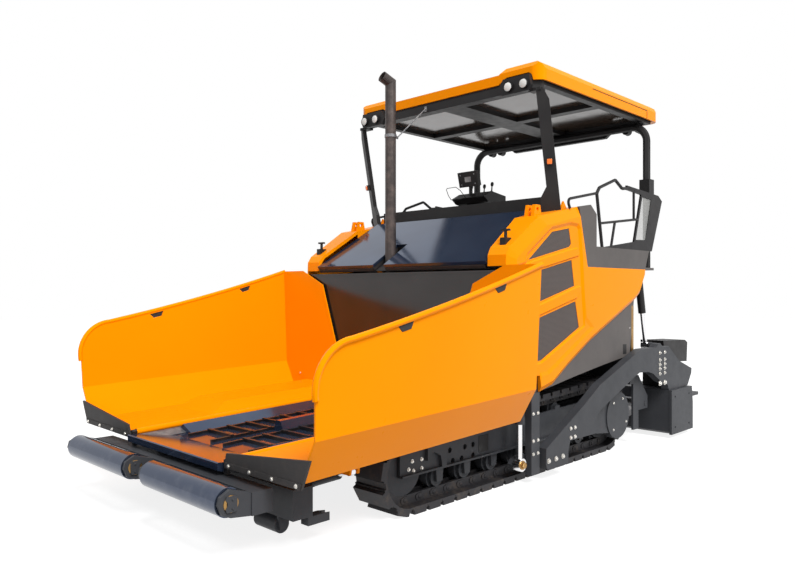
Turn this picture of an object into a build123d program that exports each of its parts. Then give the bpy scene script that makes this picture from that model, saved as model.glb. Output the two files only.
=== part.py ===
from build123d import *
import os
from math import atan2, cos, hypot, pi, radians, sin, tan

# Tracked asphalt paver, in millimetres.
# X points forward (travel), Y to the left, Z up. The origin is on the ground at the
# middle of the overall length and width.

# Clearances
FIT = 0.5                # round a pin or a rod
SEAT = 0.3               # between a round face and what carries it
RUN = 8.0                # between pieces that move past each other

# Tracks
TRACK_OUTER_Y = 1250.0
SHOE_WIDTH = 330.0
SHOE_PLATE = 26.0
SHOE_PAD = 34.0
LINK_HEIGHT = 75.0
LINK_GAUGE = 110.0       # between the middles of the two link rails
LINK_THICK = 34.0
SHOE_COUNT = 46
IDLER_X, IDLER_R = 1800.0, 330.0         # radius over the pads
SPROCKET_X, SPROCKET_R = -1300.0, 400.0
TOOTH_COUNT = 11
TRACK_BAND = SHOE_PLATE + SHOE_PAD + LINK_HEIGHT
TRACK_MID_Y = TRACK_OUTER_Y - SHOE_WIDTH / 2

# Track frames
FRAME_PLATE = 26.0
FRAME_PLATE_IN = 76.0    # inner face of a side plate, from the track's middle
BEAM_REAR, BEAM_FRONT = -1060.0, 1560.0
BEAM_Z = (290.0, 500.0, 575.0)           # bottom, top at the front, top at the rear
FRAME_FLANGE = 30.0
FRAME_HOLES = [(1271, 413), (1071, 411), (961, 414), (1234, 320), (1116, 320), (961, 320)]
FRAME_HOLE_R = 24.0
# curved bracket on the side of each track frame: X, Z
FRAME_BRACKET = [(1579, 506), (1346, 500), (1346, 306), (1400, 306), (1420, 400), (1500, 440),
                 (1560, 420), (1579, 380)]
ROLLER_R = 78.0
ROLLER_XS = (-860.0, -480.0, -100.0, 280.0, 660.0, 1040.0, 1400.0)
CARRIER_XS = (-400.0, 700.0)
CARRIER_R = 60.0
AXLE_R = 30.0
CROSS_TUBE_XS = (1000.0, -600.0)         # ahead of the frame and beside it
CROSS_TUBE_Z, CROSS_TUBE_R = 430.0, 75.0
COVER_X, COVER_Z, COVER_R = -1380.0, 390.0, 250.0
COVER_Y = (1258.0, 1340.0)

# Main frame
FRAME_FRONT = 740.0
FRAME_REAR = -1700.0
FRAME_TO_TRACK = 120.0
FRAME_HALF = TRACK_OUTER_Y - SHOE_WIDTH - FRAME_TO_TRACK
FRAME_Z = (360.0, 980.0)
REAR_WALL_PLATE = 24.0
REAR_WALL_LOW = 720.0
OUTRIGGER_Z = (760.0, 860.0)
FRONT_BEAM_Y = (560.0, 690.0)
FRONT_BEAM_DEPTH = 150.0
HEAD_X = (2740.0, 2910.0)
HEAD_Z = (200.0, 410.0)
HEAD_HALF = 1200.0

# Hopper and conveyor, drawn level and then tipped about the front lip
HOPPER_SLOPE = 2.0
LIP_X, LIP_Z = 3130.0, 500.0
DECK_PLATE = 14.0
DECK_HALF = 690.0
TUNNEL_HALF = 540.0
TUNNEL_HEIGHT = 250.0
SLAT_PITCH = 190.0
SLAT_HEIGHT = 30.0
CHANNEL_Y = (80.0, 460.0)

# Hopper wings
HINGE_GAP = 32.0         # from the deck's edge to the hinge line
HINGE_Y = DECK_HALF + HINGE_GAP
HINGE_LIFT = 60.0        # hinge above the deck plate
HINGE_R = 20.0
WING_PLATE = 14.0
WING_REAR = 778.0       # upright rear plane of the wings
FLOOR_Y = 1550.0         # bend from floor to chamfer
BEND_Y, BEND_LIFT = 1710.0, 342.0        # bend from chamfer to wall, above the lip
WALL_TOP_Y, WALL_LIFT = 1763.0, 1385.0   # wall at its rear top
RIM_R = 22.0
NOTCH_SHARES = (0.29, 0.78)          # places of the rim's notches along its rear part
HUMP_Y = (800.0, 865.0, 1330.0, 1450.0)  # foot, top, top, foot of the cover over the track
HUMP_FRONT = (2130.0, 2340.0)            # top edge and foot of its front slope
HUMP_RISE = 104.0

# Push rollers
PUSH_X, PUSH_Z, PUSH_R = 3380.0, 420.0, 95.0
PUSH_Y = (150.0, 1150.0)
PUSH_PLATE = 28.0
BAR_X = (3070.0, 3230.0)
BAR_Z = (310.0, 460.0)
BAR_HALF = 1195.0
PIVOT_X = 2990.0

# Body panels
# top line of the body side, front to rear: X, Z
SHOULDER = [(740.0, 1962.0), (736.0, 2060.0), (690.0, 2128.0), (228.0, 2432.0), (-100.0, 2500.0),
            (-455.0, 2575.0)]
SHOULDER_BEVELS = [130.0, 130.0, 125.0, 100.0, 100.0]    # widths along its edges
LOWER_BEVEL = 45.0
BEVEL_DEPTH = 26.0
PANEL_Y = 1400.0
PANEL_PLATE = 36.0
PANEL_IN = PANEL_Y - PANEL_PLATE
PANEL_END = (-620.0, 1982.0)             # where the body side meets the platform's side
RECESS_DEPTH = 18.0
# recesses of the body side: outline, depth, inward lean of their walls
RECESSES = (
    ([(600, 890), (230, 890), (203, 956), (96, 960), (-752, 1368), (-600, 1480), (-560, 1720),
      (600, 1720)], 8, 38),
    ([(600, 1020), (203, 1056), (-600, 1380), (-560, 1720), (-520, 2150), (-490, 2365), (-448, 2405),
      (-300, 2412), (40, 2345), (445, 2085), (470, 2004), (600, 1975)], RECESS_DEPTH, 32),
)
BANDS = (
    [(622, 1863), (622, 1958), (-300, 2150), (-440, 2172), (-478, 2140), (-465, 2085)],
    [(622, 1423), (622, 1520), (-426, 1788), (-500, 1796), (-514, 1762), (-430, 1668)],
)
BAND_DRAFT = 12.0
SHOULDER_IN = (1176.0, 1068.0)           # inner edge at the front and at the rear
HOOD_LOW = (746.0, 1981.0)
HOOD_HIGH = (-104.0, 2518.0)
HOOD_HALF = (1168.0, 1060.0)
HOOD_PLATE = 32.0
HOOD_TRIM = 30.0         # upper edge of the hood, below the ridge line
HOOD_PIN = (-126.0, 2502.0)
HOOD_KNUCKLES = (-700.0, 0.0, 700.0)
KNUCKLE_R = 16.0
LOWER_PANEL_PLATE = 30.0
BACK_WALL_X = (740.0, 756.0)
BACK_WALL_HALF = 1396.0
BACK_WALL_TOP = 1925.0

LUG_HOLE = (100.0, 2514.0)
LUG_HOLE_R = 20.0
LUG_Y = (1280.0, 1245.0)
LUG_Y_IN = (1195.0, 1170.0)              # the second ear plate
PEG_X, PEG_Y, PEG_TOP = 612.0, 1280.0, 2295.0

# Exhaust
PIPE_X, PIPE_Y, PIPE_R = 579.0, -200.0, 57.0
PIPE_WALL = 5.0
PIPE_TOP = 3905.0
ENGINE_TOP = 1480.0
MUFFLER_TOP = 1700.0
SLOT_HALF = 80.0
SLOT_LENGTH = 420.0

# Platform
FLOOR_Z = (1982.0, 2010.0)
COAMING_Z = 2195.0
PLATFORM_REAR = -2000.0
BULKHEAD_X = (-470.0, -440.0)
COWL_X = -240.0
COWL_Z = (2500.0, 2675.0)
SEAT_YS = (-760.0, 760.0)
SEAT_Z = 2250.0
SEAT_BACK_TOP = 2690.0
CONSOLE_Y = (-380.0, 100.0)
STEP_HEIGHTS = (1080.0, 1310.0, 1540.0, 1770.0)
STEP_REACH = 140.0
STEP_Y = (350.0, 750.0)
RAIL_R = 17.0
SCREEN = [(-1850, 2800), (-1690, 2308), (-1935, 2318), (-2075, 2790)]     # clear pane: X, Z

# Canopy
CANOPY_REAR, CANOPY_FRONT = -2550.0, 30.0
CANOPY_HALF = 1270.0
CANOPY_TOP = 3955.0
CANOPY_EDGE = CANOPY_TOP - 185.0
CANOPY_SKIN = 22.0
ROOF_CORNER = 110.0
ROOF_SLOPE = 110.0       # run of the roof's sloped rear end
ROOF_RAIL_IN = 840.0
ROOF_STEP = 60.0         # from the side rails down to the middle of the roof
ROOF_MIDDLE = CANOPY_TOP - ROOF_STEP
LAMP_ARCH = [(1185, CANOPY_EDGE - 1), (1165, CANOPY_EDGE + 60), (1135, CANOPY_EDGE + 82),
             (870, CANOPY_EDGE + 82), (775, CANOPY_EDGE + 27)]
LINER_REAR = CANOPY_REAR + ROOF_SLOPE + CANOPY_SKIN
LINER_Z = (CANOPY_EDGE - 30, ROOF_MIDDLE - CANOPY_SKIN)
LINER_BAYS_X = ((-2290, -1310), (-1190, -180))
LINER_BAYS_Y = ((-1145, -150), (150, 1145))
HEADER_LOW = CANOPY_EDGE - 80
LAMP_YS = (937.0, 1115.0)
LAMP_Z, LAMP_R, LAMP_DEPTH = CANOPY_EDGE - 35, 46.0, 45.0
POST_Y = (1225.0, 1295.0)
POST_DEPTH = 45.0
POST_PLANE = Plane(origin=(-249, 1256, 2500), x_dir=(-0.5, 0.866, 0),
                   z_dir=Vector(-0.5, 0.866, 0).cross(Vector(0.2, 0, 1)))
REAR_POST_X = (-2290.0, -2190.0)
HOOP_R, HOOP_JOIN = 45.0, 900.0

# Screed and its tow arms
TOW_X, TOW_Z = 550.0, 200.0
TOW_PIN_R = 25.0
ARM_Y = (1372.0, 1460.0)
TONGUE_Y = (1290.0, 1345.0)
EYE_Y = (1352.0, 1418.0)
EYE_R = 58.0
LEVEL_BARREL_LOW = 560.0
GUIDE_X = (290.0, 420.0)
GUIDE_Y = (1358.0, 1425.0)
SCREED_HALF = 1500.0
SCREED_REAR, SCREED_FRONT = -2970.0, -2390.0
SCREED_BOTTOM = 50.0
SCREED_TOP = 572.0
SCREED_WALL, SCREED_END = 22.0, 30.0
END_HOLES = (-2680.0, 310.0)             # middle of the extension's bolt pattern
END_HOLE_SPACING = (400.0, 360.0)
END_HOLE_R = 13.0
LIFT_TOP = (-1960.0, 1920.0)
LIFT_EYE = (-2140.0, 1105.0)
LIFT_Y = 1290.0
LIFT_BARREL_R, LIFT_ROD_R = 42.0, 24.0
LIFT_BARREL = 445.0
LIFT_EYE_HALF = 42.0

# Augers
AUGER_X, AUGER_Z = -2080.0, 440.0
AUGER_R, AUGER_TUBE_R = 190.0, 52.0
AUGER_Y = (75.0, 1285.0)
AUGER_PITCH = 300.0

# Wing cylinders, drawn level with the hopper in a plane across it: Y, Z of foot and head
RAM_X = 2450.0
RAM_FOOT = (810.0, 276.0)
RAM_HEAD = (1260.0, 446.0)
RAM_BARREL_R, RAM_ROD_R = 36.0, 20.0
RAM_BARREL = 340.0


def face(points):
    """Flat face from a closed list of (u, v) points."""
    return make_face(Polyline(*points, close=True))


def side_plane(y):
    """Drawing plane of a side view at y: u is X, v is Z, it faces the middle."""
    return Plane(origin=(0, y, 0), x_dir=(1, 0, 0), z_dir=(0, -1, 0))


def cross_plane(x):
    """Drawing plane across the machine at x: u is Y, v is Z, it faces forward."""
    return Plane(origin=(x, 0, 0), x_dir=(0, 1, 0), z_dir=(1, 0, 0))


def side_slab(outline, y_outer, y_inner):
    """Side-view outline, thick from y_outer in to y_inner."""
    sketch = face(outline) if isinstance(outline, list) else outline
    return extrude(side_plane(y_outer) * sketch, y_outer - y_inner)


def tapered_slab(outline_outer, outline_inner, y_outer, y_inner):
    """Slab between two side-view outlines that have as many corners."""
    outer = [(x, y_outer, z) for x, z in outline_outer]
    inner = [(x, y_inner, z) for x, z in outline_inner]
    rings = [outer, inner]
    rings += [list(ring) for ring in zip(outer, outer[1:] + outer[:1], inner[1:] + inner[:1], inner)]
    return Solid(Shell([Face(Wire.make_polygon(ring)) for ring in rings]))


def cross_slab(outline, x_rear, x_front):
    """Cross-section outline between two stations."""
    sketch = face(outline) if isinstance(outline, list) else outline
    return extrude(cross_plane(x_rear) * sketch, x_front - x_rear)


def plan_slab(outline, z_low, z_high):
    """Plan outline between two heights."""
    sketch = face(outline) if isinstance(outline, list) else outline
    return extrude(Plane.XY.offset(z_low) * sketch, z_high - z_low)


def block(x, y, z):
    """Box from three (low, high) pairs."""
    size = (x[1] - x[0], y[1] - y[0], z[1] - z[0])
    return Pos((x[0] + x[1]) / 2, (y[0] + y[1]) / 2, (z[0] + z[1]) / 2) * Box(*size)


def rod_between(start, end, radius):
    """Round bar between two points."""
    run = Vector(*end) - Vector(*start)
    return extrude(Plane(origin=start, z_dir=run) * Circle(radius), run.length)


def rod_y(x, z, radius, y_low, y_high):
    return rod_between((x, y_low, z), (x, y_high, z), radius)


def rod_x(y, z, radius, x_low, x_high):
    return rod_between((x_low, y, z), (x_high, y, z), radius)


def rod_z(x, y, radius, z_low, z_high):
    return rod_between((x, y, z_low), (x, y, z_high), radius)


def drum(x, z, radius, y_low, y_high, sides=20):
    """Many-sided wheel body across the machine."""
    return extrude(Plane(origin=(x, y_low, z), x_dir=(1, 0, 0), z_dir=(0, 1, 0))
                   * RegularPolygon(radius, sides), y_high - y_low)


def tube_along(points, bend, radius, sides=8):
    """Bent rail with many flat sides, along points with rounded corners."""
    path = FilletPolyline(*points, radius=bend)
    return sweep(Plane(origin=path @ 0, z_dir=path % 0) * RegularPolygon(radius, sides), path=path)


def ribbon(path, thickness):
    """Closed outline of a bent sheet: the path and its offset to the left."""
    normals = []
    for a, b in zip(path, path[1:]):
        length = hypot(b[0] - a[0], b[1] - a[1])
        normals.append((-(b[1] - a[1]) / length, (b[0] - a[0]) / length))
    inner = []
    for i, (u, v) in enumerate(path):
        n0 = normals[max(i - 1, 0)]
        n1 = normals[min(i, len(normals) - 1)]
        scale = thickness / (1 + n0[0] * n1[0] + n0[1] * n1[1])
        inner.append((u + (n0[0] + n1[0]) * scale, v + (n0[1] + n1[1]) * scale))
    return path + inner[::-1]


def inset(outline, distances):
    """Closed outline with its edges moved inwards, all by one distance or each by its own."""
    if not isinstance(distances, (list, tuple)):
        distances = [distances] * len(outline)
    following = outline[1:] + outline[:1]
    area = sum(a[0] * b[1] - b[0] * a[1] for a, b in zip(outline, following))
    turn = 1 if area > 0 else -1
    lines = []
    for a, b, distance in zip(outline, following, distances):
        length = hypot(b[0] - a[0], b[1] - a[1])
        nu, nv = turn * (a[1] - b[1]) / length, turn * (b[0] - a[0]) / length
        lines.append((nu, nv, nu * a[0] + nv * a[1] + distance))
    corners = []
    for (u0, v0, c0), (u1, v1, c1) in zip(lines[-1:] + lines, lines):
        det = u0 * v1 - u1 * v0
        corners.append(((c0 * v1 - c1 * v0) / det, (u0 * c1 - u1 * c0) / det))
    return corners


def mirrored(shape):
    return mirror(shape, about=Plane.XZ)


def both(shape):
    """A left piece and its mirror image on the right."""
    return [shape, mirrored(shape)]


def tipped(shape):
    """Tips a level hopper piece about the front lip, rear end up."""
    return Pos(LIP_X, 0, LIP_Z) * Rot(0, HOPPER_SLOPE, 0) * Pos(-LIP_X, 0, -LIP_Z) * shape


# Tracks: a closed band round idler and sprocket, with its shoes in its outline

TRACK_SPAN = IDLER_X - SPROCKET_X
TRACK_TILT = atan2(SPROCKET_R - IDLER_R, TRACK_SPAN)
TRACK_TURN = pi - 2 * TRACK_TILT         # wrap angle at the idler


def on_idler(inset, heading):
    radius = IDLER_R - inset
    return (IDLER_X + radius * sin(heading), IDLER_R - radius * cos(heading))


def on_sprocket(inset, heading):
    radius = SPROCKET_R - inset
    return (SPROCKET_X + radius * sin(heading), SPROCKET_R - radius * cos(heading))


def loop_face(inset):
    """Face inside the track's path, inset from the pad faces."""
    start, foot = on_sprocket(inset, 0), on_idler(inset, 0)
    nose, head = on_idler(inset, TRACK_TURN / 2), on_idler(inset, TRACK_TURN)
    top, tail = on_sprocket(inset, TRACK_TURN), on_sprocket(inset, pi + TRACK_TURN / 2)
    return make_face([
        Line(start, foot), ThreePointArc(foot, nose, head),
        Line(head, top), ThreePointArc(top, tail, start),
    ])


def loop_length(inset):
    wraps = (IDLER_R - inset) * TRACK_TURN + (SPROCKET_R - inset) * (2 * pi - TRACK_TURN)
    return 2 * TRACK_SPAN + wraps


def loop_point(s, inset):
    """Place and heading at arc length s, from under the sprocket, going forward."""
    if s < TRACK_SPAN:
        return SPROCKET_X + s, inset, 0.0
    s -= TRACK_SPAN
    wrap = (IDLER_R - inset) * TRACK_TURN
    if s < wrap:
        heading = s / (IDLER_R - inset)
        return *on_idler(inset, heading), heading
    s -= wrap
    if s < TRACK_SPAN:
        x, z = on_idler(inset, TRACK_TURN)
        return x + s * cos(TRACK_TURN), z + s * sin(TRACK_TURN), TRACK_TURN
    heading = TRACK_TURN + (s - TRACK_SPAN) / (SPROCKET_R - inset)
    return *on_sprocket(inset, heading), heading


def shoe_outline():
    """Outline over all shoes: each a plate with a narrower pad on it."""
    pin_line = SHOE_PAD + SHOE_PLATE + LINK_HEIGHT / 2
    pitch = loop_length(pin_line) / SHOE_COUNT
    plate_half, pad_half = 0.485 * pitch, 0.40 * pitch
    web, plate, pad = (pin_line - depth for depth in (SHOE_PAD + SHOE_PLATE - 8, SHOE_PAD, 0))
    # along the shoe, out from the pin line
    profile = [(-plate_half, web), (-plate_half, plate), (-pad_half, plate), (-pad_half, pad),
               (pad_half, pad), (pad_half, plate), (plate_half, plate), (plate_half, web)]
    points = []
    for i in range(SHOE_COUNT):
        x, z, heading = loop_point((i + 0.5) * pitch, pin_line)
        for along, out in profile:
            points.append((x + along * cos(heading) + out * sin(heading),
                           z + along * sin(heading) - out * cos(heading)))
    return points


def track():
    shoes = face(shoe_outline()) - loop_face(SHOE_PAD + SHOE_PLATE)
    band = side_slab(shoes, TRACK_OUTER_Y, TRACK_OUTER_Y - SHOE_WIDTH)
    rails = loop_face(SHOE_PAD + SHOE_PLATE - 5) - loop_face(TRACK_BAND)
    for side in (-1, 1):
        middle = TRACK_MID_Y + side * LINK_GAUGE / 2
        band += side_slab(rails, middle + LINK_THICK / 2, middle - LINK_THICK / 2)
    return band


# Track frames

def plate_pair(outline):
    """The same side plate either side of the track's middle."""
    inner, outer = FRAME_PLATE_IN, FRAME_PLATE_IN + FRAME_PLATE
    return [side_slab(outline, TRACK_MID_Y + outer, TRACK_MID_Y + inner),
            side_slab(outline, TRACK_MID_Y - inner, TRACK_MID_Y - outer)]


def track_frame():
    bottom, top_front, top_rear = BEAM_Z
    nose = IDLER_X + 70
    beam = [(BEAM_REAR, bottom + 70), (BEAM_REAR + 120, bottom), (nose, bottom), (nose, top_front - 40),
            (nose - 60, top_front), (BEAM_REAR + 60, top_rear), (BEAM_REAR, top_rear - 60)]
    roller_z = TRACK_BAND + ROLLER_R + SEAT
    frame = Part() + plate_pair(beam)
    for x in ROLLER_XS:
        frame += plate_pair([(x - 45, bottom), (x - 35, roller_z - 32), (x + 35, roller_z - 32),
                             (x + 45, bottom)])
    out = TRACK_MID_Y + FRAME_PLATE_IN + FRAME_PLATE
    frame += block((BEAM_REAR + 100, BEAM_FRONT - 200),
                   (TRACK_MID_Y - FRAME_PLATE_IN, TRACK_MID_Y + FRAME_PLATE_IN), (380, 405))
    for x in CARRIER_XS:
        frame += plate_pair([(x - 60, 480), (x - 40, carrier_z(x) + 30), (x + 40, carrier_z(x) + 30),
                             (x + 60, 480)])
    for x, z in FRAME_HOLES:
        frame -= rod_y(x, z, FRAME_HOLE_R, out - FRAME_PLATE - 1, out + 1)
    frame += block((BEAM_REAR + 150, nose), (out, out + FRAME_FLANGE), (bottom, bottom + 16))
    return frame + side_slab(FRAME_BRACKET, out + FRAME_FLANGE, out)


def carrier_z(x):
    """Middle of a carrier roller under the top run."""
    x0, z0 = on_idler(TRACK_BAND, TRACK_TURN)
    return z0 + (x0 - x) * tan(2 * TRACK_TILT) - (CARRIER_R + SEAT) / cos(2 * TRACK_TILT)


def wheel(x, z, radius, flange, half):
    """Wheel with its flange and the axle that reaches the side plates."""
    sides = 36 if radius > 2 * ROLLER_R else 18
    body = drum(x, z, radius, TRACK_MID_Y - half, TRACK_MID_Y + half, sides)
    if flange:
        body += drum(x, z, radius + 22, TRACK_MID_Y - flange, TRACK_MID_Y + flange, sides)
    return body + drum(x, z, AXLE_R, TRACK_MID_Y - FRAME_PLATE_IN, TRACK_MID_Y + FRAME_PLATE_IN, 12)


def sprocket_teeth():
    """Toothed disc between the link rails."""
    tip, root = SPROCKET_R - SHOE_PAD - SHOE_PLATE - 15, SPROCKET_R - TRACK_BAND - 2
    points = []
    for i in range(TOOTH_COUNT):
        for share, radius in ((-0.34, root), (-0.12, tip), (0.12, tip), (0.34, root)):
            angle = 2 * pi * (i + share) / TOOTH_COUNT
            points.append((SPROCKET_X + radius * cos(angle), SPROCKET_R + radius * sin(angle)))
    half = (LINK_GAUGE - LINK_THICK) / 2 - 4
    return side_slab(points, TRACK_MID_Y + half, TRACK_MID_Y - half)


def running_gear():
    flange = (LINK_GAUGE - LINK_THICK) / 2 - 4
    half = (LINK_GAUGE + LINK_THICK) / 2 - 2
    gear = [wheel(IDLER_X, IDLER_R, IDLER_R - TRACK_BAND - SEAT, flange, half)]
    sprocket = wheel(SPROCKET_X, SPROCKET_R, SPROCKET_R - TRACK_BAND - SEAT, 0, half)
    gear.append(sprocket + sprocket_teeth())
    for x in ROLLER_XS:
        gear.append(wheel(x, TRACK_BAND + ROLLER_R + SEAT, ROLLER_R, flange, half))
    for x in CARRIER_XS:
        gear.append(wheel(x, carrier_z(x), CARRIER_R, flange, half))
    return gear


def drive_cover():
    """Round final-drive cover outside the track, with its box part forward."""
    cover = rod_y(COVER_X, COVER_Z, COVER_R, *COVER_Y)
    cover += side_slab([(COVER_X, COVER_Z + COVER_R - 10), (COVER_X, COVER_Z - COVER_R + 60),
                        (-920, 255), (-920, 500), (-1080, 560)], COVER_Y[1] - 12, COVER_Y[0])
    plate_out = TRACK_MID_Y + FRAME_PLATE_IN + FRAME_PLATE
    cover += rod_y(SPROCKET_X, SPROCKET_R, 110, TRACK_MID_Y + FRAME_PLATE_IN, COVER_Y[0])
    cover += block((-1180, -960), (plate_out, COVER_Y[0]), (330, 470))
    return cover


# Main frame

def deck_z(x):
    """Top of the conveyor deck at station x."""
    return LIP_Z + (LIP_X - x) * tan(radians(HOPPER_SLOPE))


def level_offset(depth):
    """Upright distance between two planes of the hopper that lie depth apart."""
    return depth / cos(radians(HOPPER_SLOPE))


def conveyor_space():
    """The tunnel that the conveyor runs through, a little longer than the frame."""
    section = [(-DECK_HALF, LIP_Z - DECK_PLATE), (DECK_HALF, LIP_Z - DECK_PLATE),
               (DECK_HALF, LIP_Z), (TUNNEL_HALF, LIP_Z), (TUNNEL_HALF, LIP_Z + TUNNEL_HEIGHT),
               (-TUNNEL_HALF, LIP_Z + TUNNEL_HEIGHT), (-TUNNEL_HALF, LIP_Z), (-DECK_HALF, LIP_Z)]
    return tipped(cross_slab(section, FRAME_REAR - 200, LIP_X))


def main_frame():
    """Girders beside the conveyor, the pan under it, the bed over it and the cross tubes."""
    bottom, top = FRAME_Z
    pan, bed = [(FRAME_REAR, bottom), (FRAME_FRONT, bottom)], [(FRAME_REAR, top), (FRAME_FRONT, top)]
    for x in (FRAME_FRONT, FRAME_REAR):
        pan.append((x, deck_z(x) - level_offset(DECK_PLATE)))
        bed.append((x, deck_z(x) + level_offset(TUNNEL_HEIGHT)))
    girder = block((FRAME_REAR, FRAME_FRONT), (TUNNEL_HALF, FRAME_HALF), FRAME_Z) - conveyor_space()
    parts = [side_slab(pan, TUNNEL_HALF, -TUNNEL_HALF), side_slab(bed, TUNNEL_HALF, -TUNNEL_HALF)]
    parts += both(girder) + both(front_beam())
    plate_in = TRACK_MID_Y - FRAME_PLATE_IN - FRAME_PLATE
    for x, inner in zip(CROSS_TUBE_XS, (FRONT_BEAM_Y[1], FRAME_HALF)):
        parts += both(rod_y(x, CROSS_TUBE_Z, CROSS_TUBE_R, inner, plate_in))
    return parts


def front_beam():
    """Beam under the hopper, from the frame to the front of the crosshead it rests on."""
    rise = level_offset(DECK_PLATE)
    depth = rise + level_offset(FRONT_BEAM_DEPTH)
    outline = [(FRAME_FRONT, deck_z(FRAME_FRONT) - rise), (HEAD_X[1], deck_z(HEAD_X[1]) - rise),
               (HEAD_X[1], HEAD_Z[1]), (HEAD_X[0], HEAD_Z[1]), (HEAD_X[0], deck_z(HEAD_X[0]) - depth),
               (FRAME_FRONT, deck_z(FRAME_FRONT) - depth)]
    return side_slab(outline, FRONT_BEAM_Y[1], FRONT_BEAM_Y[0])


def rear_wall():
    """Closes the tractor's rear between the side panels, down behind the tracks."""
    half = PANEL_Y - PANEL_PLATE - LOWER_PANEL_PLATE - SEAT
    inner = FRAME_HALF + 10
    low, base, top = REAR_WALL_LOW, FRAME_Z[1], FLOOR_Z[0]
    outline = [(-half, low), (-inner, low), (-inner, base), (inner, base), (inner, low), (half, low),
               (half, top), (-half, top)]
    return cross_slab(outline, FRAME_REAR, FRAME_REAR + REAR_WALL_PLATE)


# Tow guides, level cylinders

def outrigger():
    """Arm over the track with the column that guides the tow arm."""
    low, high = OUTRIGGER_Z
    barrel_y = (EYE_Y[0] + EYE_Y[1]) / 2
    arm = block((GUIDE_X[0] - 50, TOW_X + 90), (FRAME_HALF, GUIDE_Y[0]), (low, high))
    arm -= block((GUIDE_X[1] + 20, TOW_X + 100), (barrel_y - 55, GUIDE_Y[0] + 1), (low - 1, high - 35))
    arm += block((GUIDE_X[1] + 20, TOW_X + 90), (barrel_y - 55, EYE_Y[1] + 10), (high - 35, high))
    return [arm, block(GUIDE_X, GUIDE_Y, (80, low + 60))]


def level_barrel():
    middle = (EYE_Y[0] + EYE_Y[1]) / 2
    top = OUTRIGGER_Z[1] - 35
    barrel = rod_z(TOW_X, middle, 44, LEVEL_BARREL_LOW, top)
    return barrel - rod_z(TOW_X, middle, TOW_PIN_R + FIT, LEVEL_BARREL_LOW - 1, top - 10)


def tow_point():
    """Level cylinder's rod with its bearing eye round the tow pin."""
    middle = (EYE_Y[0] + EYE_Y[1]) / 2
    eye = rod_y(TOW_X, TOW_Z, EYE_R, *EYE_Y)
    eye += rod_z(TOW_X, middle, TOW_PIN_R, TOW_Z + 20, 680)
    return eye - rod_y(TOW_X, TOW_Z, TOW_PIN_R + FIT, EYE_Y[0] - 5, EYE_Y[1] + 5)


# Tow arms and screed

def tow_arm():
    """Arm plate, and its tongue, tow pin and lift pin as pieces welded to it."""
    outline = [(215, 108), (238, 160), (232, 300), (-440, 620), (-760, 790), (-1540, 1050),
               (-1700, 1095), (-2390, 1090), (-2680, 900), (-3060, 780), (-3050, 720),
               (-2940, SCREED_TOP + RUN), (-2640, SCREED_TOP), (-2400, SCREED_TOP), (-2360, 640),
               (-2190, 690), (-1980, 800), (-1870, 830), (-1640, 840), (-1540, 810), (-760, 530),
               (-700, 480), (-700, 312), (-185, 312), (-150, 220), (-145, 100), (180, 100)]
    arm = side_slab(outline, ARM_Y[1], ARM_Y[0])
    arm += side_slab([(-2240, 1080), (-2170, LIFT_EYE[1] + 30), (-2110, LIFT_EYE[1] + 30),
                      (-2040, 1080)], ARM_Y[1], ARM_Y[0])
    tongue = [(232, 105), (232, 300), (TOW_X + 10, TOW_Z + 45), (TOW_X + 48, TOW_Z),
              (TOW_X + 10, TOW_Z - 45)]
    return [arm, side_slab(tongue, TONGUE_Y[1], TONGUE_Y[0]),
            block((30, 232), (TONGUE_Y[0], ARM_Y[0]), (110, 280)),
            rod_y(TOW_X, TOW_Z, TOW_PIN_R, TONGUE_Y[1], EYE_Y[1] + 8),
            rod_y(*LIFT_EYE, 40, LIFT_Y + LIFT_EYE_HALF + RUN, ARM_Y[0])]


def screed_frame():
    """Screed body: a hollow box beam with a sloped mouldboard and thick end plates."""
    front, rear, low, high = SCREED_FRONT, SCREED_REAR, SCREED_BOTTOM, SCREED_TOP
    inside = SCREED_HALF - SCREED_END
    wall = SCREED_WALL
    section = [(front, low + 30), (front, high), (rear, high), (rear, low), (front - 60, low)]
    hollow = [(front - wall, low + 40), (front - wall, high - wall), (rear + wall, high - wall),
              (rear + wall, low + wall), (front - 75, low + wall)]
    body = side_slab(section, inside, -inside) - side_slab(hollow, inside, -inside)
    end = [(front + 6, low), (front + 6, high), (rear, high), (rear - 30, high - 200), (rear - 30, low)]
    plate = side_slab(end, SCREED_HALF, inside)
    x, z = END_HOLES
    for dx in (-END_HOLE_SPACING[0] / 2, END_HOLE_SPACING[0] / 2):
        for dz in (-END_HOLE_SPACING[1] / 2, END_HOLE_SPACING[1] / 2):
            plate -= rod_y(x + dx, z + dz, END_HOLE_R, inside - 5, SCREED_HALF + 5)
    return body + plate + mirrored(plate)


def screed_boxes():
    """Cable and control box by each tow arm's tail."""
    rear, front = SCREED_REAR, SCREED_REAR + 430
    outline = [(rear + 10, SCREED_TOP), (rear + 10, 860), (rear - 260, 845), (rear - 280, 1085),
               (rear - 205, 1120), (front, 1140), (front - 60, 880), (front - 60, SCREED_TOP)]
    return both(side_slab(outline, 1330, 1040))


def screed_walkway():
    """Tread deck behind the screed, with its kick board."""
    deck = block((-3475, SCREED_REAR - 40), (-1380, 1380), (400, 440))
    brackets = []
    for y in (-1100, -370, 370, 1100):
        brackets.append(side_slab([(SCREED_REAR, 200), (SCREED_REAR, 400), (-3400, 400)],
                                  y + 12, y - 12))
        brackets.append(block((SCREED_REAR - 40, SCREED_REAR), (y - 12, y + 12), (330, 440)))
    for bracket in brackets:
        deck += bracket
    return deck


# Lift cylinders, from under the platform to the tow arms

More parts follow.
